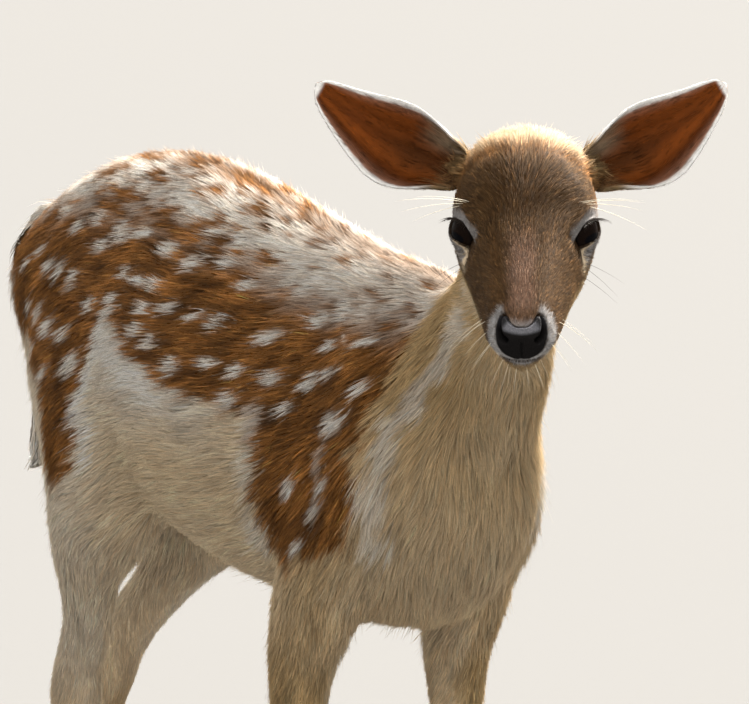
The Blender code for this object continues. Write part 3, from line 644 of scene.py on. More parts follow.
def ear_mesh(side):
    """The ear as a thin closed leaf with low ridges along its inside."""
    grid, face, t, share = ear_leaf(side)
    rows, columns = grid.shape[:2]
    thick = EAR_THICK * (1 - 0.45 * np.abs(share) ** 3)[None, :] * (0.6 + 0.4 * step(0, 0.12, t))[:, None]
    ridge = np.zeros((rows, columns))
    for place in (-0.52, -0.18, 0.14, 0.44):
        ridge += np.exp(-((share[None, :] - place) / 0.07) ** 2)
    ridge *= 0.75 * step(0.18, 0.5, t)[:, None]
    inner = grid + face * ((thick / 2 + ridge) * MM)[..., None]
    outer = grid - face * (thick / 2 * MM)[..., None]
    places = np.concatenate((inner.reshape(-1, 3), outer.reshape(-1, 3)))
    number = np.arange(rows * columns).reshape(rows, columns)
    other = number + rows * columns
    quads = [np.stack((number[:-1, :-1], number[1:, :-1], number[1:, 1:], number[:-1, 1:]), 2),
             np.stack((other[:-1, :-1], other[:-1, 1:], other[1:, 1:], other[1:, :-1]), 2)]
    walls = []
    for edge, back in ((number[:, 0], other[:, 0]), (number[:, -1][::-1], other[:, -1][::-1]),
                       (number[0][::-1], other[0][::-1]), (number[-1], other[-1])):
        walls.append(np.stack((edge[:-1], back[:-1], back[1:], edge[1:]), 1))
    faces = np.concatenate([q.reshape(-1, 4) for q in quads] + walls)
    mesh = mesh_from("ear_leaf_" + side, places, faces)
    face_out(mesh)
    return mesh


def ear_place(places, side):
    """Distance along the ear from its tip (0 to 1), across it (-1 to 1) and which face (1 inside)."""
    grid, face, t, share = ear_leaf(side)
    rows, columns = grid.shape[:2]
    tree = KDTree(rows * columns)
    for i, place in enumerate(grid.reshape(-1, 3).tolist()):
        tree.insert(place, i)
    tree.balance()
    found = np.array([tree.find(place)[1] for place in places.tolist()], int)
    row, column = found // columns, found % columns
    away = places - grid.reshape(-1, 3)[found]
    inside = np.where((away * face.reshape(-1, 3)[found]).sum(1) > 0, 1.0, -1.0)
    return t[row], share[column], inside, found


# ---------------------------------------------------------------- markings
def palette(name):
    return np.array(getattr(settings(), name))


def body_colours(places, normals, owner):
    """The coat's colours on the trunk, neck, legs and tail."""
    rust, dark, white = palette("rust"), palette("dark"), palette("white")
    cream, tan = palette("cream"), palette("tan")
    side = places[:, 0] - MID_X
    left = side > 0
    x = np.abs(side)
    shift = np.where(left, 0.005, 0.0)
    y = places[:, 1] + shift + 0.0018 * ripple(places, 0.03, 11)
    z = places[:, 2] - shift * 0.5 + 0.0018 * ripple(places, 0.03, 12)
    flat = np.stack((y, z), 1)
    under = step(-0.05, -0.7, normals[:, 2]) * step(0.28, 0.34, z)
    inward = step(0.1, 0.75, -np.sign(side) * normals[:, 0]) * step(0.45, 0.38, z)
    # tan, paler on the belly, flank, haunch, chest and the insides of the legs
    tone = mix(np.tile(tan, (len(y), 1)), cream, 0.85 * step(-0.16, -0.04, y) * step(0.30, 0.37, z)
               * step(0.25, 0.12, y))
    tone = mix(tone, white * 0.88, 0.75 * step(-0.07, 0.02, y) * step(0.16, 0.12, y) * step(0.42, 0.48, z))
    haunch = step(0.10, 0.17, y) * step(0.16, 0.30, z)
    tone = mix(tone, (cream + white) / 2, 0.85 * haunch)
    tone = mix(tone, cream, 0.55 * step(0.52, 0.42, z) * step(0.34, 0.40, z) * step(-0.1, -0.18, y))
    tone = mix(tone, cream, 0.8 * inward)
    tone = mix(tone, cream, 0.55 * under)
    # the outsides of the legs, warmer below
    tone = mix(tone, rust, 0.30 * step(0.16, 0.05, z) * (1 - inward))
    tone = mix(tone, tan * 0.7, 0.55 * step(0.36, 0.30, z) * step(-0.04, -0.09, y) * (1 - inward)
               * step(0.12, 0.2, z))
    tone = mix(tone, tone * 0.86, 0.5 + 0.5 * ripple(places, 0.016, 13))
    # the rust field with its dark spine, and painted sunlight: a pale saddle over the back and withers
    edge = inside_distance(flat, RUST_EDGE) + 0.0035 * ripple(places, 0.014, 14)
    rusty = step(-0.003, 0.004, edge)
    rump = step(0.52, 0.50, z) * step(0.30, 0.33, y) * step(0.055, 0.045, x) * step(0.33, 0.38, z)
    rusty = rusty * (1 - rump)
    deep = rust * (1 + 0.22 * ripple(places, 0.04, 15))[:, None]
    spine = np.exp(-(x / 0.011) ** 2) * step(0.52, 0.55, z)
    deep = mix(deep, dark, 0.35 * spine)
    withers = step(0.03, -0.05, y)
    # painted sunlight: the back and withers are painted near-white in broken flecks where the sun falls on
    # them, less so on the spine
    painted_sun_saddle = np.maximum(step(0.060, 0.028, x), withers * step(0.090, 0.064, x) * step(0.545, 0.575, z))
    painted_sun_saddle = painted_sun_saddle * step(0.535, 0.572, z + 0.015 * withers) * (1 - 0.7 * spine)
    sun_flecks = 0.7 * ripple(places * (1, 0.3, 1), 0.006, 19) + 0.5 * ripple(places * (1, 0.5, 1), 0.014, 20)
    deep = mix(deep, white * 0.97, 0.88 * painted_sun_saddle * step(-0.5, 0.6, sun_flecks + 0.5 * withers))
    tone = mix(tone, deep, rusty)
    # the white rump and its dark border
    tone = mix(tone, white, 0.9 * rump)
    tone = mix(tone, dark, 0.6 * np.exp(-((x - 0.050) / 0.004) ** 2) * step(0.29, 0.32, y)
               * step(0.36, 0.42, z) * step(0.54, 0.50, z))
    # pale lines, the scattered spots, and the row of spots on each side of the spine
    pale = np.zeros(len(y))
    for points, half, strength in PALE_LINES:
        gap = line_distance(flat, points) / MM
        broken = gap + 2.2 * ripple(places, 0.007, 16) + 3.0 * ripple(places, 0.022, 18)
        pale = np.maximum(pale, strength * step(half * 1.5, half * 0.5, broken))
    for at_y, at_z, long, tall in SPOTS:
        dy, dz = (y - at_y) / MM, (z - at_z) / MM
        slope = -0.35 if at_z < 0.545 else -0.12
        along, up = dy + dz * slope, dz - dy * slope
        gap = np.hypot(along / (long * 0.5), up / (tall * 0.5))
        pale = np.maximum(pale, step(1.45, 0.80, gap + 0.22 * ripple(places, 0.007, 17)))
    row = (places[:, 1] + 0.006 * left) / ROW_STEP
    off_row = x - ROW_OUT - 0.004 * np.sin(row * 2.1)
    gap = np.hypot((row - np.round(row)) * ROW_STEP / MM / 7.5, off_row / MM / 4.5)
    pale = np.maximum(pale, 0.95 * step(1.2, 0.7, gap) * step(-0.15, -0.12, y) * step(0.29, 0.26, y)
                      * (z > 0.52))
    pale *= (z > 0.37) & (y < 0.31)
    tone = mix(tone, white, 0.95 * pale)
    # darker just above the hooves; the tail dark above and white below
    tone = mix(tone, dark * 1.6, 0.5 * step(0.045, 0.03, z))
    tail = (owner == FLESH.index("tail")).astype(float)
    tone = mix(tone, mix(np.tile(white, (len(y), 1)), dark * 0.5,
                         step(0.10, 0.45, normals[:, 1]) * step(0.385, 0.42, z)), tail)
    return tone


def face_colours(places):
    """The coat's colours on the head."""
    rust, dark, white = palette("rust"), palette("dark"), palette("white")
    cream, tan, face = palette("cream"), palette("tan"), palette("face")
    bridge, grey = palette("bridge"), palette("grey")
    head = to_head(places)
    wave = ripple(places, 0.010, 21)
    x, a, u = np.abs(head[:, 0]) + 0.9 * wave, head[:, 1] + 0.9 * ripple(places, 0.011, 22), head[:, 2]
    tone = np.tile(face, (len(x), 1))
    # crown, bridge, dark forehead and the dark lines beside the bridge; the crown's top is paler, partly its
    # own hair and partly painted sunlight
    tone = mix(tone, rust * 1.15, 0.7 * step(-12, -30, a) * step(10, 25, u))
    # the crown's top: its pale hair, made paler still by painted sunlight
    tone = mix(tone, cream, 0.65 * step(-22, -34, a) * step(20, 32, u))
    tone = mix(tone, bridge, 0.9 * step(12, 3, x) * step(20, 52, a) * step(-16, -4, u + 0.4 * (a - 60)))
    tone = mix(tone, dark * 1.35, 0.95 * np.exp(-((x / 21) ** 2 + ((a - 2) / 25) ** 2)) * step(8, 20, u))
    tone = mix(tone, dark * 1.9, 0.55 * np.exp(-(((x - 15) / 5) ** 2)) * step(92, 60, a) * step(15, 40, a)
               * step(-24, -10, u))
    # the ear's root, the cheek behind the eye, the jaw and the throat
    root = np.hypot(np.hypot(x - 40, a + 52), u - 12)
    tone = mix(tone, tan * 0.42, 0.85 * step(21, 13, root))
    low = -25 + 0.12 * (40 - a)
    tone = mix(tone, rust, 0.6 * step(6, -16, a) * step(22, 8, u))
    tone = mix(tone, tan * 0.95, step(low + 7, low - 14, u) * step(80, 60, a))
    tone = mix(tone, cream, 0.8 * step(-44, -54, u))
    # the pale ring round each eye, and the lids
    eye_ring = np.zeros(len(x))
    lid = np.zeros(len(x))
    for side in SIDES:
        opening, height = lid_measure(head, side)
        near = step(25, 20, eye_distance(head, side))
        limit = 1.85 + 0.75 * step(0.05, -0.25, height)
        eye_ring = np.maximum(eye_ring, near * step(0.0, -0.4, opening + 0.08 * wave - limit)
                              * (0.85 - 0.10 * step(0.1, -0.3, height)))
        lid = np.maximum(lid, near * step(1.13, 1.07, opening))
    tone = mix(tone, grey, eye_ring)
    # the tear groove
    flat = np.stack((a, u), 1)
    on_side = step(16, 22, x)
    tear = line_distance(flat, TEAR_TONE)
    tone = mix(tone, cream, 0.75 * step(4.2, 2.4, tear) * on_side)
    tone = mix(tone, dark * 0.6, 0.9 * step(1.6, 0.7, tear) * on_side)
    tone = mix(tone, dark * 0.35, lid)
    # the pale ring round the nose, open above it; the chin, darker in painted shade under the nose; and the
    # mouth
    edge = nose_measure(head)
    ring = step(1.75, 1.40, edge + 0.05 * wave + 0.35 * step(-18, -10, u)) * step(55, 70, a) * step(0, -8, u)
    top = step(-18, -12, u) * step(11.5, 8, x)
    tone = mix(tone, face * 1.1, 0.6 * top * step(76, 88, a))
    tone = mix(tone, grey * 1.1, ring * (1 - top))
    # painted shade: the middle of the chin under the nose is painted darker tan
    tone = mix(tone, tan * 0.8, 0.75 * step(-38.5, -41, u) * step(70, 84, a) * step(14, 9, x))
    tone = mix(tone, white, 0.7 * step(70, 80, a) * step(-30, -36, u) * step(9, 15, x))
    tone = mix(tone, dark * 0.4, step(1.05, 0.99, edge))
    mouth = line_distance(flat, MOUTH_TONE)
    tone = mix(tone, dark * 0.5, 0.85 * step(1.5, 0.6, mouth) * step(56, 64, a))
    return tone * (1 + 0.10 * ripple(places, 0.006, 23))[:, None]


def ear_colours(places, side):
    """The colours of one ear: bare and warm inside, brown behind, with a white rim. Inside, its red is
    partly painted glow of light through the ear, with painted shade down its hollow; the white rim is
    brightened by painted glow.
    """
    ear, face, tan = palette("ear"), palette("face"), palette("tan")
    t, share, inside, _ = ear_place(places, side)
    streak = ripple(np.stack((share * 0.03, t * 0.004, 0 * t), 1), 0.012, 31)
    # the inner red: partly its own colour, partly painted glow of light coming through the ear
    inner = np.tile(ear, (len(t), 1)) * (1 + 0.35 * streak)[:, None]
    # painted glow: lighter towards the thin edges
    inner = mix(inner, EAR_EDGE_GLOW, 0.55 * step(0.55, 0.95, np.abs(share)))
    inner = mix(inner, palette("cream") * 0.50, 0.75 * step(0.60, 0.85, t) * step(0.1, 0.5, share))
    inner = mix(inner, tan * 0.42, 0.6 * step(0.82, 0.95, t) * step(0.2, -0.2, share))
    # painted shade: darker down the middle of the ear's hollow towards its root
    inner = mix(inner, palette("dark"), 0.45 * step(0.35, 0.7, t) * step(0.45, 0.1, np.abs(share + 0.1)))
    outer = np.tile(face, (len(t), 1))
    outer = mix(outer, tan * 0.6, 0.7 * step(0.6, 0.9, t))
    outer = mix(outer, face * 0.6, 0.5 * step(0.5, 0.1, t))
    tone = np.where((inside > 0)[:, None], inner, outer)
    # the white fringe on the rim and tip, widened and brightened as painted glow of light through it from
    # behind
    rim = np.maximum(step(0.82, 0.92, np.abs(share)), step(0.045, 0.020, t)) * step(0.92, 0.80, t)
    return mix(tone, EAR_RIM_AND_GLOW, rim)


def colours_at(places, normals, owner):
    """Colours for places on the skin, from the solid that each lies on."""
    tone = body_colours(places, normals, owner)
    head = to_head(places)
    on_head = owner == FLESH.index("head")
    nape = step(-60, -78, head[:, 1]) * on_head
    face = face_colours(places[on_head])
    tone[on_head] = mix(face, tone[on_head], nape[on_head])
    for side in SIDES:
        here = owner == FLESH.index("ear_" + side)
        if here.any():
            tone[here] = ear_colours(places[here], side)
    return tone


def nose_angles(head_places):
    """The two angles, in degrees, at which a place is seen from inside the nose."""
    way = unit(head_places - np.array(NOSE_HEART))
    return np.degrees(np.arctan2(way[:, 0], way[:, 1])), np.degrees(np.arcsin(np.clip(way[:, 2], -1, 1)))


def nose_outline():
    """Angle round the nose's middle against the distance of its edge, in degrees."""
    right = np.array(NOSE_EDGE, float)
    ring = np.concatenate((right, (right * (-1, 1))[::-1][1:-1]))
    closed = np.concatenate((ring, ring[:1]))
    t = np.arange(len(closed))
    fine = np.linspace(0, len(ring), 181)[:-1]
    smooth = np.stack([np.interp(fine, t, closed[:, i]) for i in range(2)], 1)
    for _ in range(4):
        smooth = (np.roll(smooth, 1, 0) + smooth * 2 + np.roll(smooth, -1, 0)) / 4
    return smooth


def nose_measure(head_places):
    """1 on the leather's edge, less inside it and more outside."""
    outline = nose_outline()
    turn = np.arctan2(outline[:, 0], outline[:, 1])
    order = np.argsort(turn)
    turn, reach = turn[order], np.hypot(*outline.T)[order]
    across, up = nose_angles(head_places)
    here = np.arctan2(across, up)
    edge = np.interp(here, turn, reach, period=2 * math.pi)
    return np.where(head_places[:, 1] > 60, np.hypot(across, up) / edge, 9.0)


# ---------------------------------------------------------------- skin
def build_skin():
    """One skin for all the flesh, fused, evened out, drawn in under the coat and shaped."""
    parts = [node for node in FLESH if not node.startswith("ear")]
    source = flesh_copy("skin", parts + ["eye_left", "eye_right", "nose"], SWELL)
    solid = surface_of(source)
    skin = new_object("skin", source)
    only(skin)
    source.remesh_voxel_size = BODY_GRAIN
    source.use_remesh_fix_poles = False
    bpy.ops.object.voxel_remesh()
    mesh = skin.data
    relax(mesh, 9)
    for level in range(2):
        refine_head(mesh, level)
    snap_head(mesh, solid)
    draw_in(mesh)
    places = points_of(mesh)
    head = to_head(places)
    close = np.linalg.norm(head - FACE_MID, axis=1) < FACE_REACH
    face = shape_face(head[close])
    for side in SIDES:
        face = shape_eye(face, side)
    places[close] = from_head(face)
    set_points(mesh, places)
    join_ears(skin)
    mesh = skin.data
    mesh.polygons.foreach_set("use_smooth", np.ones(len(mesh.polygons), bool))
    places, normals = points_of(mesh), normals_of(mesh)
    # the skin takes the coat's colours, darkened as painted shade under the coat
    paint(mesh, "tint", colours_at(places, normals, nearest_node(places)) * SKIN_SHADE)
    only(skin)
    finish_piece(skin, skin_material(), FLESH)


def snap_head(mesh, solid):
    """Lays the head's refined skin on the solids again, and evens it out."""
    places = points_of(mesh)
    head = to_head(places)
    on_head = step(-84, -74, head[:, 1]) * step(115, 100, np.linalg.norm(head, axis=1))
    for i in np.nonzero(on_head > 0)[0]:
        near = solid.find_nearest(places[i].tolist(), BODY_GRAIN)
        if near[0] is not None:
            places[i] += (np.array(near[0]) - places[i]) * on_head[i]
    set_points(mesh, places)
    relax(mesh, 12, on_head * 0.9 + 0.1)


def join_ears(skin):
    """Joins both ears to the skin, and melts their feet into the head."""
    for side in SIDES:
        ear = new_object("ear_leaf_" + side, ear_mesh(side))
        only(skin)
        join = skin.modifiers.new("Ear", "BOOLEAN")
        join.operation = "UNION"
        join.solver = "EXACT"
        join.object = ear
        bpy.ops.object.modifier_apply(modifier=join.name)
        bpy.data.objects.remove(ear)
    head = to_head(points_of(skin.data))
    foot = np.zeros(len(head))
    for s in SIDES.values():
        gap = np.linalg.norm(head - to_side(s, EAR_FOOT), axis=1)
        foot = np.maximum(foot, step(19, 13, gap))
    relax(skin.data, 6, foot)
    melt(skin.data, 14, foot)


def refine_head(mesh, level):
    """Halves the squares of the head, and again round the eyes and the muzzle."""
    form = bmesh.new()
    form.from_mesh(mesh)
    places = to_head(np.array([v.co for v in form.verts]))
    if level == 0:
        wanted = (places[:, 1] > -84) & (np.linalg.norm(places, axis=1) < 112)
    else:
        wanted = places[:, 1] > 68
        for side in SIDES:
            wanted |= eye_distance(places, side) < 24
    edges = [edge for edge in form.edges if wanted[edge.verts[0].index] and wanted[edge.verts[1].index]]
    bmesh.ops.subdivide_edges(form, edges=edges, cuts=1, use_grid_fill=True)
    bmesh.ops.triangulate(form, faces=[f for f in form.faces if len(f.verts) > 4])
    form.to_mesh(mesh)
    form.free()


def draw_in(mesh):
    """Draws the skin in by the coat's depth, so that the locks' tips come out at the CAD surface."""
    places, normals = points_of(mesh), normals_of(mesh)
    _, sizes = comb_at(places, nape_share(places))
    depth = sizes[:, 1] * MM * COAT_ROOM
    set_points(mesh, places - normals * depth[:, None])


def nape_share(places):
    """1 on the face and 0 on the body, with the change over the nape."""
    head = to_head(places)
    return step(-88, -66, head[:, 1]) * step(125, 105, np.linalg.norm(head - (0, 10, -10), axis=1))


def comb_at(places, headness):
    """The way the coat lies and the sizes of its locks at each place."""
    way, sizes = blended(folded(places - (MID_X, 0, 0)), BODY_COMB, BODY_BLEND)
    way[:, 0] *= np.sign(places[:, 0] - MID_X + 1e-9)
    head = to_head(places)
    head_way, head_sizes = blended(folded(head), HEAD_COMB, HEAD_BLEND)
    head_way[:, 0] *= np.sign(head[:, 0] + 1e-9)
    share = headness[:, None]
    way = way * (1 - share) + head_way @ HEAD_AXES * share
    return way, sizes * (1 - share) + head_sizes * share


# ---------------------------------------------------------------- coat
def roots(skin, region, draw):
    """Where the locks of a region stand: places, normals and the solid each lies on."""
    mesh = skin.data
    tri = triangles_of(mesh)
    places, normals = points_of(mesh), normals_of(mesh)
    a, b, c = places[tri[:, 0]], places[tri[:, 1]], places[tri[:, 2]]
    area = np.linalg.norm(np.cross(b - a, c - a), axis=1) / 2
    owner = nearest_node((a + b + c) / 3)
    wanted = np.array([REGION[node] == region for node in FLESH])[owner]
    dense = area * wanted / (LOCK_AREA[region] * MM ** 2) * settings().density
    count = np.floor(dense + draw.random(len(dense))).astype(int)
    face = np.repeat(np.arange(len(tri)), count)
    u, v = draw.random((2, len(face)))
    over = u + v > 1
    u[over], v[over] = 1 - u[over], 1 - v[over]
    w = (1 - u - v)[:, None]
    u, v = u[:, None], v[:, None]
    at = a[face] * w + b[face] * u + c[face] * v
    n0, n1, n2 = (normals[tri[face, i]] for i in range(3))
    return at, unit(n0 * w + n1 * u + n2 * v), owner[face]


def away_from_eyes(places, way, normals):
    """Turns the hair away from the lids, and says where none grows."""
    head = to_head(places)
    bare = np.zeros(len(places), bool)
    for side in SIDES:
        opening, _ = lid_measure(head, side)
        near = eye_distance(head, side) < LID_REACH
        eye = from_head(to_side(SIDES[side], EYE_AT))
        radial = flat_on(places - eye, normals)
        turn = np.where(near, step(2.0, 1.25, opening), 0)[:, None]
        way = way * (1 - turn) + radial * turn
        bare |= near & (opening < 1.07)
    return way, bare


def region_locks(skin, region, draw):
    """Roots, normals, ways, sizes and colours of a region's locks."""
    at, normal, owner = roots(skin, region, draw)
    headness = nape_share(at)
    way, sizes = comb_at(at, headness)
    keep = at[:, 2] > BARE_BELOW
    head = to_head(at)
    if region == "head":
        way, bare = away_from_eyes(at, way, normal)
        keep &= ~bare & (nose_measure(head) > 0.95)
        short = np.ones(len(at))
        for side in SIDES:
            opening, _ = lid_measure(head, side)
            near = eye_distance(head, side) < LID_REACH
            short = np.minimum(short, np.where(near, 0.35 + 0.65 * step(1.1, 2.0, opening), 1))
        sizes = sizes * short[:, None]
        ear_root = np.linalg.norm(folded(head) - (40, -50, 11), axis=1)
        sizes = sizes * (1 + step(20, 12, ear_root) * 0.5)[:, None]
    if region == "ears":
        way, sizes, grows = ear_comb(at, owner, draw)
        keep &= grows
    tint = colours_at(at, normal, owner)
    # painted light and shade of the clumps: streaks along the lie of the hair, stronger on dark coat and
    # weaker on the face
    across = at - way * (at * way).sum(1)[:, None] * 0.72
    clump_shading = 0.6 * ripple(across, 0.006, 43) + 0.6 * ripple(across, 0.014, 44)
    strong = 0.62 - 0.46 * step(0.08, 0.36, tint.mean(1))
    strong *= 1 - 0.5 * headness
    tint = tint * np.exp(clump_shading * strong)[:, None]
    swirl = 0.16 * ripple(at, 0.045, 41) + 0.10 * ripple(at, 0.012, 42) + draw.normal(0, 0.07, len(at))
    way = flat_on(way, normal)
    way = unit(way + np.cross(normal, way) * swirl[:, None])
    return at[keep], normal[keep], way[keep], sizes[keep], tint[keep]


def ear_comb(at, owner, draw):
    """Hair on the ears: short on the back, sparse inside, and a fringe on the rim."""
    way = np.zeros_like(at)
    sizes = np.tile(np.array((5.0, 0.9, 0.9)), (len(at), 1))
    keep = np.ones(len(at), bool)
    for side in SIDES:
        here = np.nonzero(owner == FLESH.index("ear_" + side))[0]
        if not len(here):
            continue
        grid = ear_leaf(side)[0]
        t, share, inside, found = ear_place(at[here], side)
        towards_tip = unit(-np.gradient(grid, axis=0)).reshape(-1, 3)[found]
        outward = unit(np.gradient(grid, axis=1)).reshape(-1, 3)[found] * np.sign(share)[:, None]
        rim = step(0.90, 0.98, np.abs(share))
        lean = (0.35 * np.abs(share) ** 2 * inside.clip(0, 1) + 0.9 * rim)[:, None]
        way[here] = towards_tip * (1 - 0.5 * rim[:, None]) + outward * lean
        sparse = 0.10 + 0.5 * step(0.60, 0.80, t) + 0.25 * step(0.5, 0.8, np.abs(share))
        chance = np.maximum(np.where(inside > 0, sparse, 1.0), rim)
        keep[here] = draw.random(len(here)) < chance
        long = np.where(inside > 0, 7.0 + 7.0 * step(0.55, 0.8, t), 4.6)
        sizes[here, 0] = long * (1 - rim) + 5.0 * rim
        sizes[here, 1] = np.where(inside > 0, 1.2, 0.8) * (1 - rim) + 0.5 * rim
        sizes[here, 2] = np.where(inside > 0, 0.55, 0.8)
    return way, sizes, keep


def grow(region):
    """Grows the locks of one region and joins them in pieces."""
    skin = bpy.data.objects.get("skin")
    if skin is None:
        raise RuntimeError("the skin comes before the coat")
    draw = np.random.default_rng(100 + REGIONS.index(region))
    at, normal, way, sizes, tint = region_locks(skin, region, draw)
    count = len(at)
    surface = surface_of(skin.data)
    stray = draw.random(count) < STRAYS
    length = sizes[:, 0] * MM * settings().length * draw.uniform(0.72, 1.22, count) * (1 + 0.35 * stray)
    depth = sizes[:, 1] * MM * draw.uniform(0.55, 1.15, count) * (1 + 0.9 * stray)
    width = (np.minimum(sizes[:, 2], WIDEST_LOCK) * MM * draw.uniform(0.65, 1.2, count) * 0.5
             * (1 - 0.45 * stray) * SLIMMING[region])
    rings = RINGS[region]
    stops = np.linspace(0, 1, rings + 1)
    rise = stops ** 0.75
    spine = [at - normal * (0.25 * depth)[:, None]]
    lifted = [normal]
    here = at
    for i in range(1, rings + 1):
        ahead = here + way * (length * (stops[i] - stops[i - 1]))[:, None]
        snapped, facing = on_surface(surface, ahead)
        way = unit(snapped - here)
        here = snapped
        spine.append(here + facing * (depth * rise[i])[:, None])
        lifted.append(facing)
    gather(spine, sizes[:, 0] * MM * 0.42, stops, draw)
    colours = lock_colours(tint, draw, stops)
    build_locks(region, spine, lifted, width, stops, colours, at, draw)


def on_surface(surface, places):
    near = [surface.find_nearest(place)[:2] for place in places.tolist()]
    return np.array([hit[0] for hit in near]), np.array([hit[1] for hit in near])


def gather(spine, reach, stops, draw):
    """Draws the tips of neighbours together, so that they lie in tufts."""
    tips = spine[-1]
    count = len(tips)
    spacing = np.maximum(reach, 0.0015)
    seeds = draw.choice(count, max(1, count // TUFT), replace=False)
    tree = KDTree(len(seeds))
    for i, seed in enumerate(seeds):
        tree.insert(tips[seed].tolist(), int(seed))
    tree.balance()
    found = np.array([tree.find(tip)[1] for tip in tips.tolist()], int)
    pull = tips[found] - tips
    far = np.linalg.norm(pull, axis=1)
    share = draw.uniform(0.25, 0.75, count) * step(1.0, 0.4, far / spacing)
    for i, stop in enumerate(stops):
        spine[i] += pull * (share * stop ** 1.6)[:, None]


def lock_colours(tint, draw, stops):
    """A colour for each ring of each lock: dark at the root and light at the tip, as painted shade deep in
    the coat and painted light on the tips.
    """
    count = len(tint)
    light = tint.mean(1)
    tone = np.exp(draw.normal(0, 1, count) * (0.52 - 0.38 * step(0.08, 0.4, light)))[:, None] * tint
    warm = draw.normal(0, 0.05, count)[:, None] * np.array((1.0, 0.0, -1.0))
    tone = np.clip(tone * (1 + warm), 0, 0.95)
    # painted shade towards the root, deeper on dark coat, and painted light on the tip
    deep = (0.42 + 0.28 * step(0.1, 0.4, light))[:, None]
    return [np.clip(tone * (deep + (1.18 - deep) * s), 0, 0.97) for s in stops ** 0.8]


def build_locks(region, spine, lifted, width, stops, colours, at, draw):
    """Makes the locks' three-sided tapering meshes, in pieces from front to back."""
    order = np.argsort(at[:, 1], kind="stable")
    rings = len(stops) - 1
    taper = (1 - stops ** 1.8) * (0.75 + 0.5 * np.sin(math.pi * np.minimum(stops * 1.3, 1)))
    seed = draw.random(len(at))
    pieces = max(1, math.ceil(len(at) / PIECE_LOCKS[region]))
    for number, rows in enumerate(np.array_split(order, pieces)):
        n = len(rows)
        places, normals, tones, lies, maps = [], [], [], [], []
        corner = atlas(region, at[rows])
        for i in range(rings):
            along = unit(spine[i + 1][rows] - spine[i][rows])
            up = lifted[i][rows]
            aside = unit(np.cross(along, up))
            half = (width[rows] * taper[i])[:, None]
            for across, height in ((-1.0, -0.25), (0.0, 0.42), (1.0, -0.25)):
                places.append(spine[i][rows] + aside * half * across + up * half * height)
                normals.append(unit(up + aside * across * 0.75))
                tones.append(colours[i][rows])
                lies.append(np.stack((np.full(n, across), np.full(n, stops[i]), seed[rows]), 1))
                lift = stops[i] + 0.12 * (across == 0)
                maps.append(corner + (PATCH * (0.5 + 0.5 * across), PATCH * lift))
        places.append(spine[-1][rows])
        normals.append(unit(lifted[-1][rows] + unit(spine[-1][rows] - spine[-2][rows]) * 0.3))
        tones.append(colours[-1][rows])
        lies.append(np.stack((np.zeros(n), np.ones(n), seed[rows]), 1))
        maps.append(corner + (PATCH * 0.5, PATCH))
        each = rings * 3 + 1
        base = (np.arange(n) * each)[:, None, None]
        last = (rings - 1) * 3
        tip = [(last + k, last + (k + 1) % 3, each - 1) for k in range(3)]
        pattern = prism_sides(rings) + tip + [(0, 2, 1)]
        faces = (base + np.array(pattern)[None]).reshape(-1, 3)
        flat = [np.stack(group, 1).reshape(n * each, -1) for group in (places, normals, tones, lies, maps)]
        name = f"coat_{region}_{number + 1}"
        mesh = mesh_from(name, flat[0], faces)
        paint(mesh, "tint", flat[2])
        note(mesh, "lie", flat[3])
        layer = mesh.uv_layers.new(name="OFBake")
        layer.data.foreach_set("uv", flat[4][faces.ravel()].astype(np.float32).ravel())
        mesh.normals_split_custom_set_from_vertices(flat[1].astype(np.float32))
        piece = new_object(name, mesh)
        finish_piece(piece, hair_material())


def atlas(region, at):
    """Each root's place on an unwrap of the skin round the region's own axis."""
    if region in ("head", "ears"):
        head = to_head(at)
        turn = np.arctan2(head[:, 0], head[:, 2] + 12)
        along = head[:, 1]
    elif region == "body":
        turn = np.arctan2(at[:, 0] - MID_X, at[:, 2] - 0.47)
        along = at[:, 1]
    else:
        turn = np.arctan2(at[:, 0] - MID_X, at[:, 1] - np.median(at[:, 1]))
        along = at[:, 2]
    low, high = along.min(), along.max()
    u = (turn / (2 * math.pi) + 0.5) * PATCHES_SPAN + MAP_EDGE
    v = (along - low) / max(high - low, 1e-6) * PATCHES_SPAN + MAP_EDGE
    return np.stack((u, v), 1)


# ---------------------------------------------------------------- shader sums
class Socket:
    """A value in a material, on which sums add Math nodes."""

    def __init__(self, maker, socket):
        self.maker = maker
        self.socket = socket

    def sum(self, operation, first, second):
        return self.maker.add("ShaderNodeMath", {"operation": operation}, {0: first, 1: second})

    def __add__(self, other):
        return self.sum("ADD", self, other)

    __radd__ = __add__

    def __mul__(self, other):
        return self.sum("MULTIPLY", self, other)

    __rmul__ = __mul__

    def __sub__(self, other):
        return self.sum("SUBTRACT", self, other)

    def __rsub__(self, other):
        return self.sum("SUBTRACT", other, self)


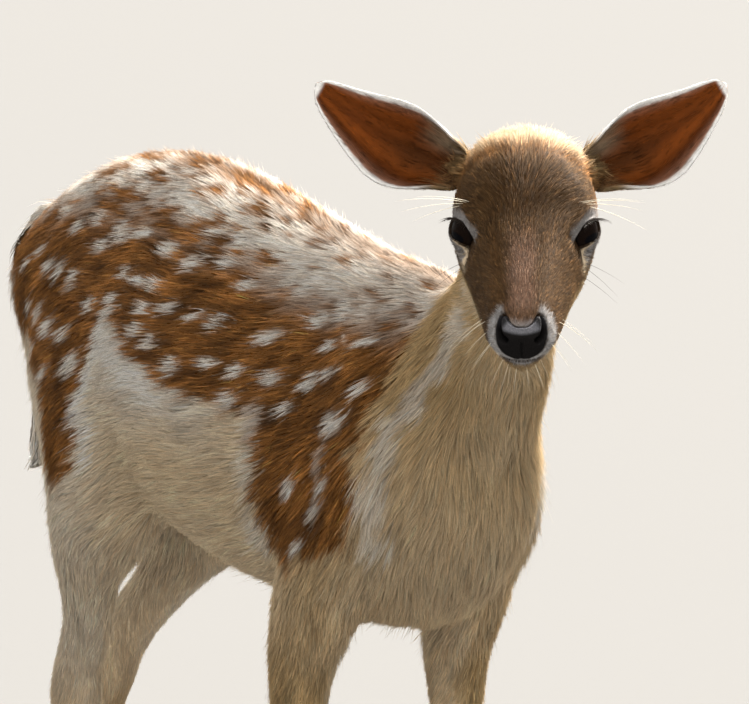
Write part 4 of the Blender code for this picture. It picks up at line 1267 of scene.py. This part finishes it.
class Finish:
    """A material under construction."""

    def __init__(self, name, **settings_of):
        self.material = bpy.data.materials.new(name)
        self.material.use_nodes = True
        self.tree = self.material.node_tree
        self.shader = self.tree.nodes["Principled BSDF"]
        for key, value in settings_of.items():
            self.set(key.replace("_", " ").title().replace("Ior", "IOR"), value)

    def add(self, kind, options, values, output=0):
        """Adds a node, sets its options, then fills its sockets with values or links."""
        node = self.tree.nodes.new(kind)
        for key, value in options.items():
            if key == "stops":
                self.ramp(node, value)
            else:
                setattr(node, key, value)
        for key, value in values.items():
            self.feed(node.inputs[key], value)
        return Socket(self, node.outputs[output])

    def ramp(self, node, stops):
        ramp = node.color_ramp
        while len(ramp.elements) < len(stops):
            ramp.elements.new(0.5)
        for element, (place, value) in zip(ramp.elements, stops):
            element.position = place
            element.color = (*value, 1.0)

    def feed(self, socket, value):
        if isinstance(value, Socket):
            self.tree.links.new(value.socket, socket)
        else:
            socket.default_value = value

    def set(self, name, value):
        if not isinstance(value, Socket) and name == "Base Color":
            value = (*value, 1.0)
        self.feed(self.shader.inputs[name], value)

    def attribute(self, name, output="Color"):
        return self.add("ShaderNodeAttribute", {"attribute_name": name}, {}, output)

    def places(self):
        return self.add("ShaderNodeTexCoord", {}, {}, "Object")

    def noise(self, vector, scale, detail=3.0, roughness=0.55):
        return self.add("ShaderNodeTexNoise", {}, {"Vector": vector, "Scale": scale, "Detail": detail,
                                                   "Roughness": roughness})

    def blend(self, mode, share, first, second):
        return self.add("ShaderNodeMix", {"data_type": "RGBA", "blend_type": mode},
                        {0: share, 6: first, 7: second}, 2)

    def bump(self, height, strength, distance):
        self.set("Normal", self.add("ShaderNodeBump", {}, {"Strength": strength, "Distance": distance,
                                                           "Height": height}))

    def let_light_through(self, share, tint):
        """Lets a share of the light from behind come through."""
        behind = self.add("ShaderNodeBsdfTranslucent", {}, {"Color": tint}, "BSDF")
        both = self.add("ShaderNodeMixShader", {}, {0: share, 1: Socket(self, self.shader.outputs["BSDF"]),
                                                    2: behind}, "Shader")
        self.tree.links.new(both.socket, self.tree.nodes["Material Output"].inputs["Surface"])

    def grey(self, value):
        """A value as a colour."""
        return self.add("ShaderNodeCombineColor", {}, {0: value, 1: value, 2: value})

    def scaled(self, vector, by):
        return self.add("ShaderNodeVectorMath", {"operation": "MULTIPLY"}, {0: vector, 1: by})

    def grained(self, value):
        """Gives the piece its own colours, made lighter and darker by a value."""
        self.set("Base Color", self.blend("MULTIPLY", 1.0, self.attribute("tint"), self.grey(value)))


MADE = {}


def once(maker):
    """Makes a material the first time, and gives the same one after that."""
    def get():
        if maker.__name__ not in MADE:
            MADE[maker.__name__] = maker()
        return MADE[maker.__name__]
    return get


@once
def hair_material():
    finish = Finish("fur", roughness=0.6, specular_ior_level=0.04)
    strand = finish.noise(finish.scaled(finish.attribute("lie", "Vector"), (2.6, 1.3, 60.0)), 1.0, 2.0)
    finish.grained(strand * 1.5 + 0.25)
    finish.bump(strand, 0.5, 0.0004)
    finish.let_light_through(HAIR_GLOW, GLOW_TINT)
    return finish.material


@once
def skin_material():
    finish = Finish("skin", roughness=0.7, specular_ior_level=0.06)
    fine = finish.noise(finish.places(), 900.0, 4.0)
    broad = finish.noise(finish.places(), 160.0, 3.0)
    finish.grained(fine * 0.7 + broad * 0.4 + 0.45)
    finish.bump(fine, 0.35, 0.0004)
    return finish.material


@once
def eye_material():
    finish = Finish("eyeball", roughness=0.3, specular_ior_level=0.0, coat_weight=0.25,
                    coat_roughness=0.015, coat_ior=1.22)
    fibre = finish.noise(finish.places(), 1500.0, 2.0)
    finish.grained(fibre * 0.8 + 0.6)
    return finish.material


@once
def nose_material():
    finish = Finish("nose_leather", specular_ior_level=0.05, coat_weight=0.03, coat_roughness=0.25)
    cells = finish.add("ShaderNodeTexVoronoi", {"feature": "DISTANCE_TO_EDGE"},
                       {"Vector": finish.places(), "Scale": 1050.0})
    grain = finish.noise(finish.places(), 2400.0, 3.0)
    pebble = finish.add("ShaderNodeMath", {"operation": "MINIMUM"}, {0: cells * 3.2, 1: 0.8})
    finish.grained(pebble * 0.6 + 0.55)
    finish.set("Roughness", 0.58 - pebble * 0.22)
    finish.bump(pebble + grain * 0.25, 0.55, 0.0004)
    return finish.material


@once
def horn_material():
    finish = Finish("hoof_horn", specular_ior_level=0.45)
    places = finish.places()
    grow_ring = finish.noise(finish.scaled(places, (60.0, 60.0, 620.0)), 1.0, 3.0)
    fibre = finish.noise(finish.scaled(places, (900.0, 900.0, 60.0)), 1.0, 3.0)
    colours = finish.add("ShaderNodeValToRGB", {"stops": [
        (0.25, (0.022, 0.018, 0.016)), (0.55, (0.060, 0.047, 0.038)), (0.85, (0.14, 0.11, 0.085))]},
        {0: grow_ring * 0.6 + fibre * 0.4})
    finish.set("Base Color", colours)
    finish.set("Roughness", 0.38 + fibre * 0.25)
    finish.bump(grow_ring * 0.6 + fibre * 0.4, 0.4, 0.0005)
    return finish.material


@once
def whisker_material():
    finish = Finish("whisker", roughness=0.4, specular_ior_level=0.1)
    grain = finish.noise(finish.places(), 400.0, 2.0)
    finish.grained(grain * 0.6 + 0.7)
    return finish.material


FLOOR_GRAIN = (0.128, 0.128, 0.128, 1.0)


@once
def floor_material():
    finish = Finish("studio_floor", roughness=0.85, specular_ior_level=0.05)
    grain = finish.noise(finish.places(), 3.0, 3.0)
    finish.set("Base Color", finish.blend("MIX", grain * 0.06, (*settings().floor, 1.0),
                                          FLOOR_GRAIN))
    return finish.material


# ---------------------------------------------------------------- features
CORNEA_STANDS = 0.035       # share of the eye's radius
PUPIL = (0.42, 0.24)        # half length and half height, as shares of the radius
IRIS_SPOKES = 34
EYE_WHITE, EYE_IRIS, EYE_PUPIL = (0.004, 0.003, 0.003), (0.006, 0.003, 0.002), (0.001, 0.001, 0.002)
# the nose leather's black; a painted highlight, the grey of light reflected on its upper face; and painted
# shade in the nostrils and groove
LEATHER, LEATHER_HIGHLIGHT, NOSTRIL_SHADE = (0.005, 0.004, 0.004), (0.17, 0.17, 0.19), (0.002, 0.002, 0.002)
LEATHER_LAYERS = 46         # rings of squares from the nose's middle to its edge
LEATHER_THICK = 2.2
HOOF_EDGE = 0.0011          # width of the rounding on a claw's edges
HOOF_RING = 0.00022         # height of the growth rings in the horn
HOOF_RING_STEP = 0.0021     # their spacing, for each radian


def add_sphere(name, centre, radius):
    bpy.ops.object.select_all(action="DESELECT")
    bpy.ops.mesh.primitive_uv_sphere_add(segments=96, ring_count=64, radius=radius, location=centre)
    obj = bpy.context.active_object
    obj.name = obj.data.name = name
    bpy.ops.object.transform_apply(location=True, rotation=False, scale=False)
    bpy.ops.object.shade_smooth()
    return obj


def build_eye(side):
    """An eyeball with a raised cornea, a dark brown iris and a long level pupil."""
    centre = to_side(SIDES[side], EYE_AT)
    eye = add_sphere("eyeball_" + side, Vector(from_head(centre)), EYE_RADIUS * MM)
    gaze, back = eye_axes(side)
    head = to_head(points_of(eye.data)) - centre
    way = unit(head)
    off = np.arccos(np.clip(way @ gaze, -1, 1))
    cornea = 1 + CORNEA_STANDS * step(0.75, 0.25, off)
    set_points(eye.data, from_head(centre + head * cornea[:, None]))
    across, up = way @ back, way[:, 2]
    iris = step(0.80, 0.72, off)
    pupil = step(1.1, 0.9, np.hypot(across / PUPIL[0], up / PUPIL[1]))
    spoke = 0.5 + 0.5 * np.sin(np.arctan2(up, across) * IRIS_SPOKES)
    tone = mix(np.tile(EYE_WHITE, (len(way), 1)), EYE_IRIS, iris)
    tone = tone * (0.75 + 0.5 * spoke * iris)[:, None]
    paint(eye.data, "tint", mix(tone, EYE_PUPIL, pupil))
    finish_piece(eye, eye_material(), ["eye_" + side])


def build_nose():
    """The leather of the nose, laid on the muzzle, with its nostrils and the groove between."""
    outline = nose_outline()
    rounds = len(outline)
    heart = from_head(NOSE_HEART)
    share = np.linspace(0, 1, LEATHER_LAYERS + 1)[1:] ** 0.9
    angles = np.concatenate([[(0.0, 0.0)]] + [outline * s for s in share])
    az, el = np.radians(angles).T
    way = np.stack((np.sin(az) * np.cos(el), np.cos(az) * np.cos(el), np.sin(el)), 1) @ HEAD_AXES
    rim = np.concatenate(([0.0], np.repeat(share, rounds)))
    reach = muzzle_reach(heart, way, rim)
    proud = 0.7 * step(1.02, 0.80, rim) - 0.9 * step(0.93, 1.0, rim) + 0.3
    slit = line_distance(folded(angles), NOSTRIL)
    pit = step(NOSTRIL_WIDE, NOSTRIL_WIDE * 0.3, slit)
    wing = np.exp(-((slit - NOSTRIL_WIDE * 1.5) / 3.5) ** 2)
    groove = np.exp(-(angles[:, 0] / 2.6) ** 2) * step(12, 2, angles[:, 1])
    radius = reach + proud + 0.8 * wing * step(1.0, 0.85, rim) - 4.6 * pit - 0.7 * groove
    outer = heart + way * (radius * MM)[:, None]
    inner = heart + way * ((np.minimum(radius, reach) - LEATHER_THICK) * MM)[:, None]
    mesh = mesh_from("nose_leather", np.concatenate((outer, inner)), leather_faces(rounds))
    face_out(mesh)
    relax(mesh, 2)
    across = np.abs(angles[:, 0])
    # painted highlight: the upper face of the leather is painted grey for light reflected on it, fading back
    # to black at the sides
    top = step(20, 30, angles[:, 1] - 0.04 * across)
    tone = mix(np.tile(LEATHER, (len(outer), 1)), LEATHER_HIGHLIGHT, top)
    # painted shade: the nostril pits and the groove between them are painted darkest, cutting through the
    # painted highlight
    tone = mix(tone, NOSTRIL_SHADE, np.maximum(pit, 0.8 * groove))
    tone = mix(tone, LEATHER, step(40, 56, across) * 0.9)
    paint(mesh, "tint", np.concatenate((tone, tone)))
    finish_piece(new_object("nose_leather", mesh), nose_material(), ["nose"])


def muzzle_reach(heart, way, rim):
    """How far the muzzle lies from the nose's heart each way, evened out, in millimetres."""
    surface = surface_of(bpy.data.objects["skin"].data)
    reach = []
    for direction in way.tolist():
        hit = surface.ray_cast(heart.tolist(), direction)
        if hit[0] is None:
            raise RuntimeError("the nose found no muzzle to lie on")
        reach.append(hit[3])
    reach = np.array(reach) / MM + NOSE_SINKS * step(1.0, 0.86, rim)
    grid = reach[1:].reshape(LEATHER_LAYERS, -1)
    for _ in range(5):
        grid = (np.roll(grid, 1, 1) + grid * 2 + np.roll(grid, -1, 1)) / 4
        grid[1:-1] = (grid[:-2] + grid[1:-1] * 2 + grid[2:]) / 4
    return np.concatenate(([grid[0].mean()], grid.ravel()))


def leather_faces(rounds):
    """Two round grids, one behind the other, and the wall that joins their edges."""
    total = 1 + LEATHER_LAYERS * rounds
    ring = np.arange(rounds)
    after = (ring + 1) % rounds
    faces = []
    for offset, flip in ((0, False), (total, True)):
        fan = np.stack((np.full(rounds, offset), offset + 1 + ring, offset + 1 + after), 1)
        faces.append(fan[:, ::-1] if flip else fan)
        for i in range(LEATHER_LAYERS - 1):
            a, b = offset + 1 + i * rounds + ring, offset + 1 + i * rounds + after
            c, d = b + rounds, a + rounds
            quad = np.concatenate((np.stack((a, d, c), 1), np.stack((a, c, b), 1)))
            faces.append(quad[:, ::-1] if flip else quad)
    edge = total - rounds
    a, b = edge + ring, edge + after
    faces += [np.stack((a, a + total, b + total), 1), np.stack((a, b + total, b), 1)]
    return np.concatenate(faces)


def build_hooves():
    """Each claw and dewclaw, rounded from its solid, with growth rings in its horn."""
    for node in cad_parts:
        if not node.startswith(("claw", "dewclaw")):
            continue
        mesh = flesh_copy("horn_" + node, [node], 0.0)
        horn = new_object("horn_" + node, mesh)
        only(horn)
        bpy.ops.object.mode_set(mode="EDIT")
        bpy.ops.mesh.select_all(action="SELECT")
        bpy.ops.mesh.tris_convert_to_quads(face_threshold=0.9, shape_threshold=0.9)
        bpy.ops.object.mode_set(mode="OBJECT")
        if node.startswith("claw"):
            edge = horn.modifiers.new("Edge", "BEVEL")
            edge.width = HOOF_EDGE
            edge.segments = 2
            edge.limit_method = "ANGLE"
            edge.angle_limit = math.radians(40)
            bpy.ops.object.modifier_apply(modifier=edge.name)
        smooth = horn.modifiers.new("Smooth", "SUBSURF")
        smooth.levels = smooth.render_levels = 2
        bpy.ops.object.modifier_apply(modifier=smooth.name)
        bpy.ops.object.shade_smooth()
        places = points_of(horn.data)
        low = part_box(node)[0].z
        places[:, 2] = np.maximum(places[:, 2], low)
        ring = HOOF_RING * np.sin(places[:, 2] / HOOF_RING_STEP)
        ring *= step(low + 0.003, low + 0.008, places[:, 2])
        outward = unit((places - places.mean(0)) * (1, 1, 0))
        set_points(horn.data, places + outward * ring[:, None])
        finish_piece(horn, horn_material(), [node])


# Long hairs of the face: root in the head's frame, way, length in millimetres, half width, colour.
WHISKERS = [
    ((34, 4, 19), (1.0, 0.25, 0.35), 44, 0.20, "pale"), ((36, 2, 17), (1.0, 0.30, 0.20), 40, 0.20, "pale"),
    ((38, 1, 15), (1.0, 0.30, 0.05), 34, 0.19, "pale"), ((32, 5, 20), (1.0, 0.20, 0.50), 38, 0.18, "pale"),
    ((30, 14, -17), (0.9, 0.5, -0.4), 26, 0.12, "dark"), ((33, 10, -17), (1.0, 0.4, -0.2), 22, 0.12, "dark"),
    ((36, 20, -22), (1.0, 0.4, -0.6), 24, 0.12, "dark"),
    ((22, 74, -22), (1.0, 0.3, -0.5), 22, 0.13, "pale"), ((22, 66, -25), (1.0, 0.1, -0.6), 26, 0.13, "pale"),
    ((20, 80, -26), (1.0, 0.4, -0.7), 20, 0.12, "pale"), ((23, 60, -30), (1.0, 0.0, -0.8), 28, 0.13, "pale"),
    ((16, 88, -28), (0.9, 0.6, -0.8), 16, 0.12, "pale"), ((19, 70, -40), (0.8, 0.1, -1.0), 20, 0.12, "pale"),
    ((10, 88, -46), (0.4, 0.5, -1.0), 15, 0.12, "pale"), ((4, 92, -46), (0.1, 0.6, -1.0), 13, 0.12, "pale"),
    ((14, 78, -48), (0.5, 0.2, -1.0), 18, 0.12, "pale"), ((8, 70, -51), (0.2, 0.0, -1.0), 18, 0.12, "pale"),
]
HAIR_TONES = {"pale": (0.85, 0.78, 0.62), "dark": (0.025, 0.018, 0.014)}
LASHES = 46                 # on each upper lid
LASH_HALF = 0.17            # half their width


def tube(points, radius):
    """A tapering three-sided tube along points, closed at both ends."""
    points = np.array(points)
    along = unit(np.gradient(points, axis=0))
    side = unit(np.cross(along, (0.31, 0.17, 0.93)))
    other = np.cross(along, side)
    taper = 1 - 0.9 * np.linspace(0, 1, len(points)) ** 1.5
    rings = []
    for k in range(3):
        angle = 2 * math.pi * k / 3
        rings.append(points + (side * math.cos(angle) + other * math.sin(angle)) * (radius * taper)[:, None])
    places = np.stack(rings, 1).reshape(-1, 3)
    last = (len(points) - 1) * 3
    faces = prism_sides(len(points)) + [(0, 2, 1), (last, last + 1, last + 2)]
    return places, np.array(faces)


def lashes(side, draw):
    """The lashes' curves on one upper lid, from its front corner back."""
    gaze, back = eye_axes(side)
    curves = []
    for i in range(LASHES):
        across = -0.55 + 1.5 * i / (LASHES - 1)
        bend = LID_BEND[0 if across < 0 else 1]
        upper = (LID_RAISED - LID_DROPS * max(0.0, -across) ** 2
                 + LID_HIGH * 1.06 * max(0.0, 1 - abs(across) ** bend) ** (1 / bend))
        a = across * LID_WIDE
        lid = gaze * math.cos(a) * math.cos(upper) + back * math.sin(a) * math.cos(upper)
        lid = lid + np.array((0, 0, math.sin(upper)))
        long = (4.0 + 5.5 * max(0.0, across)) * draw.uniform(0.8, 1.15)
        t = np.linspace(0, 1, 6)[:, None]
        start = to_side(SIDES[side], EYE_AT) + lid * (EYE_RADIUS + LID_STANDS + 0.1)
        sweep = back * 0.55 * max(across, 0) + np.array((0, 0, -0.50))
        out = unit(lid + sweep + draw.normal(0, 0.10, 3))
        curves.append(from_head(start + out * long * t + np.array((0, 0, -0.40 * long)) * t ** 2))
    return curves


def build_whiskers():
    """Brow and lip whiskers, and the lashes of both eyes."""
    surface = surface_of(bpy.data.objects["skin"].data)
    draw = np.random.default_rng(7)
    hairs = []
    for root, way, length, half, tone in WHISKERS:
        for s in SIDES.values():
            start = np.array(surface.find_nearest(Vector(from_head(to_side(s, root))))[0])
            heading = unit(to_side(s, way) @ HEAD_AXES + draw.normal(0, 0.06, 3))
            t = np.linspace(0, 1, 9)[:, None]
            size = length * MM * draw.uniform(0.85, 1.1)
            sag = np.array((0, 0, -1.0)) * size * 0.16
            hairs.append((start + heading * size * t + sag * t ** 2, half, tone))
    for side in SIDES:
        hairs += [(curve, LASH_HALF, "dark") for curve in lashes(side, draw)]
    places, faces, colours = [], [], []
    total = 0
    for curve, half, tone in hairs:
        points, tri = tube(curve, half * MM)
        places.append(points)
        faces.append(tri + total)
        colours += [HAIR_TONES[tone]] * len(points)
        total += len(points)
    mesh = mesh_from("whiskers", np.concatenate(places), np.concatenate(faces))
    paint(mesh, "tint", np.array(colours))
    finish_piece(new_object("whiskers", mesh), whisker_material())


# ---------------------------------------------------------------- stage
VIEW_TURN = math.radians(-30.4)
VIEW_TILT = math.radians(9.5)
VIEW_TARGET = Vector((0.06942, 0.05594, 0.4796))
VIEW_DISTANCE = 5.04
LENS = 380.8
TOWARDS_CAMERA = Vector((math.sin(VIEW_TURN) * math.cos(VIEW_TILT),
                         -math.cos(VIEW_TURN) * math.cos(VIEW_TILT), math.sin(VIEW_TILT)))
FLOOR_RADIUS = 40
SKY = (1.0, 0.965, 0.91, 1.0)
SKY_STRENGTH = 0.90
CATCH_AT = Vector((-0.9, -2.6, 2.6))    # the small lamp that glints in the eyes
# Lamps: name, way from the model, strength, spread in degrees, colour.
LAMPS = [
    ("key_above", (0.66, 0.31, 0.68), 19.0, 12, (1.0, 0.95, 0.87)),
    ("fill_front", (-0.75, -1.0, 0.9), 0.75, 60, (1.0, 0.97, 0.93)),
    ("fill_rear", (-0.6, 1.3, 0.9), 0.4, 60, (1.0, 0.97, 0.93)),
]


def add_lamp(kind, name, place, aim, **values):
    """A lamp at a place, with its back to aim."""
    bpy.ops.object.light_add(type=kind, location=place)
    lamp = bpy.context.active_object
    lamp.name = lamp.data.name = name
    lamp.rotation_euler = aim.to_track_quat("Z", "Y").to_euler()
    for key, value in values.items():
        setattr(lamp.data, key, value)


def build_stage():
    """Floor, lamps, sky light and camera."""
    bpy.ops.object.select_all(action="DESELECT")
    bpy.ops.mesh.primitive_circle_add(vertices=96, radius=FLOOR_RADIUS, fill_type="NGON",
                                      location=(0, 0, 0))
    floor = bpy.context.active_object
    floor.name = floor.data.name = "floor"
    floor.data.materials.append(floor_material())
    for name, way, strength, spread, tone in LAMPS:
        add_lamp("SUN", name, way, Vector(way), energy=strength, angle=math.radians(spread), color=tone)
    add_lamp("AREA", "catch_light", CATCH_AT, CATCH_AT - HEAD_MID, size=0.35, energy=12)
    world = bpy.data.worlds.new("studio")
    world.use_nodes = True
    sky = world.node_tree.nodes["Background"]
    sky.inputs["Color"].default_value = SKY
    sky.inputs["Strength"].default_value = SKY_STRENGTH
    bpy.context.scene.world = world
    bpy.ops.object.camera_add(location=VIEW_TARGET + TOWARDS_CAMERA * VIEW_DISTANCE)
    camera = bpy.context.active_object
    camera.name = "camera"
    camera.rotation_euler = TOWARDS_CAMERA.to_track_quat("Z", "Y").to_euler()
    camera.data.sensor_width = 36
    camera.data.lens = LENS
    camera.data.clip_end = 200
    bpy.context.scene.camera = camera
    bpy.context.scene.view_settings.view_transform = "Standard"


# ---------------------------------------------------------------- operators
class FAWN_OT_skin(bpy.types.Operator):
    """Fuse the flesh into one skin with ears, lids and mouth"""
    bl_idname = "fawn.skin"
    bl_label = "Skin"

    def execute(self, context):
        build_skin()
        return {"FINISHED"}


class FAWN_OT_eyes(bpy.types.Operator):
    """Set both eyeballs under the lids"""
    bl_idname = "fawn.eyes"
    bl_label = "Eyes"

    def execute(self, context):
        for side in SIDES:
            build_eye(side)
        return {"FINISHED"}


class FAWN_OT_nose(bpy.types.Operator):
    """Lay the nose leather on the muzzle"""
    bl_idname = "fawn.nose"
    bl_label = "Nose"

    def execute(self, context):
        build_nose()
        return {"FINISHED"}


class FAWN_OT_hooves(bpy.types.Operator):
    """Round the claws and dewclaws"""
    bl_idname = "fawn.hooves"
    bl_label = "Hooves"

    def execute(self, context):
        build_hooves()
        return {"FINISHED"}


class FAWN_OT_coat_body(bpy.types.Operator):
    """Grow the coat of the trunk and neck"""
    bl_idname = "fawn.coat_body"
    bl_label = "Coat of the body"

    def execute(self, context):
        grow("body")
        return {"FINISHED"}


class FAWN_OT_coat_legs(bpy.types.Operator):
    """Grow the coat of the legs"""
    bl_idname = "fawn.coat_legs"
    bl_label = "Coat of the legs"

    def execute(self, context):
        grow("legs")
        return {"FINISHED"}


class FAWN_OT_coat_head(bpy.types.Operator):
    """Grow the coat of the head"""
    bl_idname = "fawn.coat_head"
    bl_label = "Coat of the head"

    def execute(self, context):
        grow("head")
        return {"FINISHED"}


class FAWN_OT_coat_ears(bpy.types.Operator):
    """Grow the hair of the ears"""
    bl_idname = "fawn.coat_ears"
    bl_label = "Hair of the ears"

    def execute(self, context):
        grow("ears")
        return {"FINISHED"}


class FAWN_OT_coat_tail(bpy.types.Operator):
    """Grow the hair of the tail"""
    bl_idname = "fawn.coat_tail"
    bl_label = "Hair of the tail"

    def execute(self, context):
        grow("tail")
        return {"FINISHED"}


class FAWN_OT_whiskers(bpy.types.Operator):
    """Set the whiskers and lashes"""
    bl_idname = "fawn.whiskers"
    bl_label = "Whiskers"

    def execute(self, context):
        build_whiskers()
        return {"FINISHED"}


class FAWN_OT_stage(bpy.types.Operator):
    """Make the floor, the lamps and the camera"""
    bl_idname = "fawn.stage"
    bl_label = "Stage"

    def execute(self, context):
        build_stage()
        return {"FINISHED"}


STEPS = ("skin", "eyes", "nose", "hooves", "coat_body", "coat_legs", "coat_head", "coat_ears",
         "coat_tail", "whiskers", "stage")


class FAWN_PT_panel(bpy.types.Panel):
    """The fawn's settings and steps"""
    bl_idname = "FAWN_PT_panel"
    bl_label = "Fallow fawn"
    bl_space_type = "VIEW_3D"
    bl_region_type = "UI"
    bl_category = "Fawn"

    def draw(self, context):
        for name in FawnSettings.__annotations__:
            self.layout.prop(context.scene.fawn, name)
        for name in STEPS:
            self.layout.operator("fawn." + name)


CLASSES = (FawnSettings, FAWN_OT_skin, FAWN_OT_eyes, FAWN_OT_nose, FAWN_OT_hooves, FAWN_OT_coat_body,
           FAWN_OT_coat_legs, FAWN_OT_coat_head, FAWN_OT_coat_ears, FAWN_OT_coat_tail,
           FAWN_OT_whiskers, FAWN_OT_stage, FAWN_PT_panel)


def register():
    for each in CLASSES:
        bpy.utils.register_class(each)
    bpy.types.Scene.fawn = bpy.props.PointerProperty(type=FawnSettings)


def unregister():
    del bpy.types.Scene.fawn
    for each in reversed(CLASSES):
        bpy.utils.unregister_class(each)


def main():
    register()
    for name in STEPS:
        getattr(bpy.ops.fawn, name)()


if __name__ == "__main__":
    main()
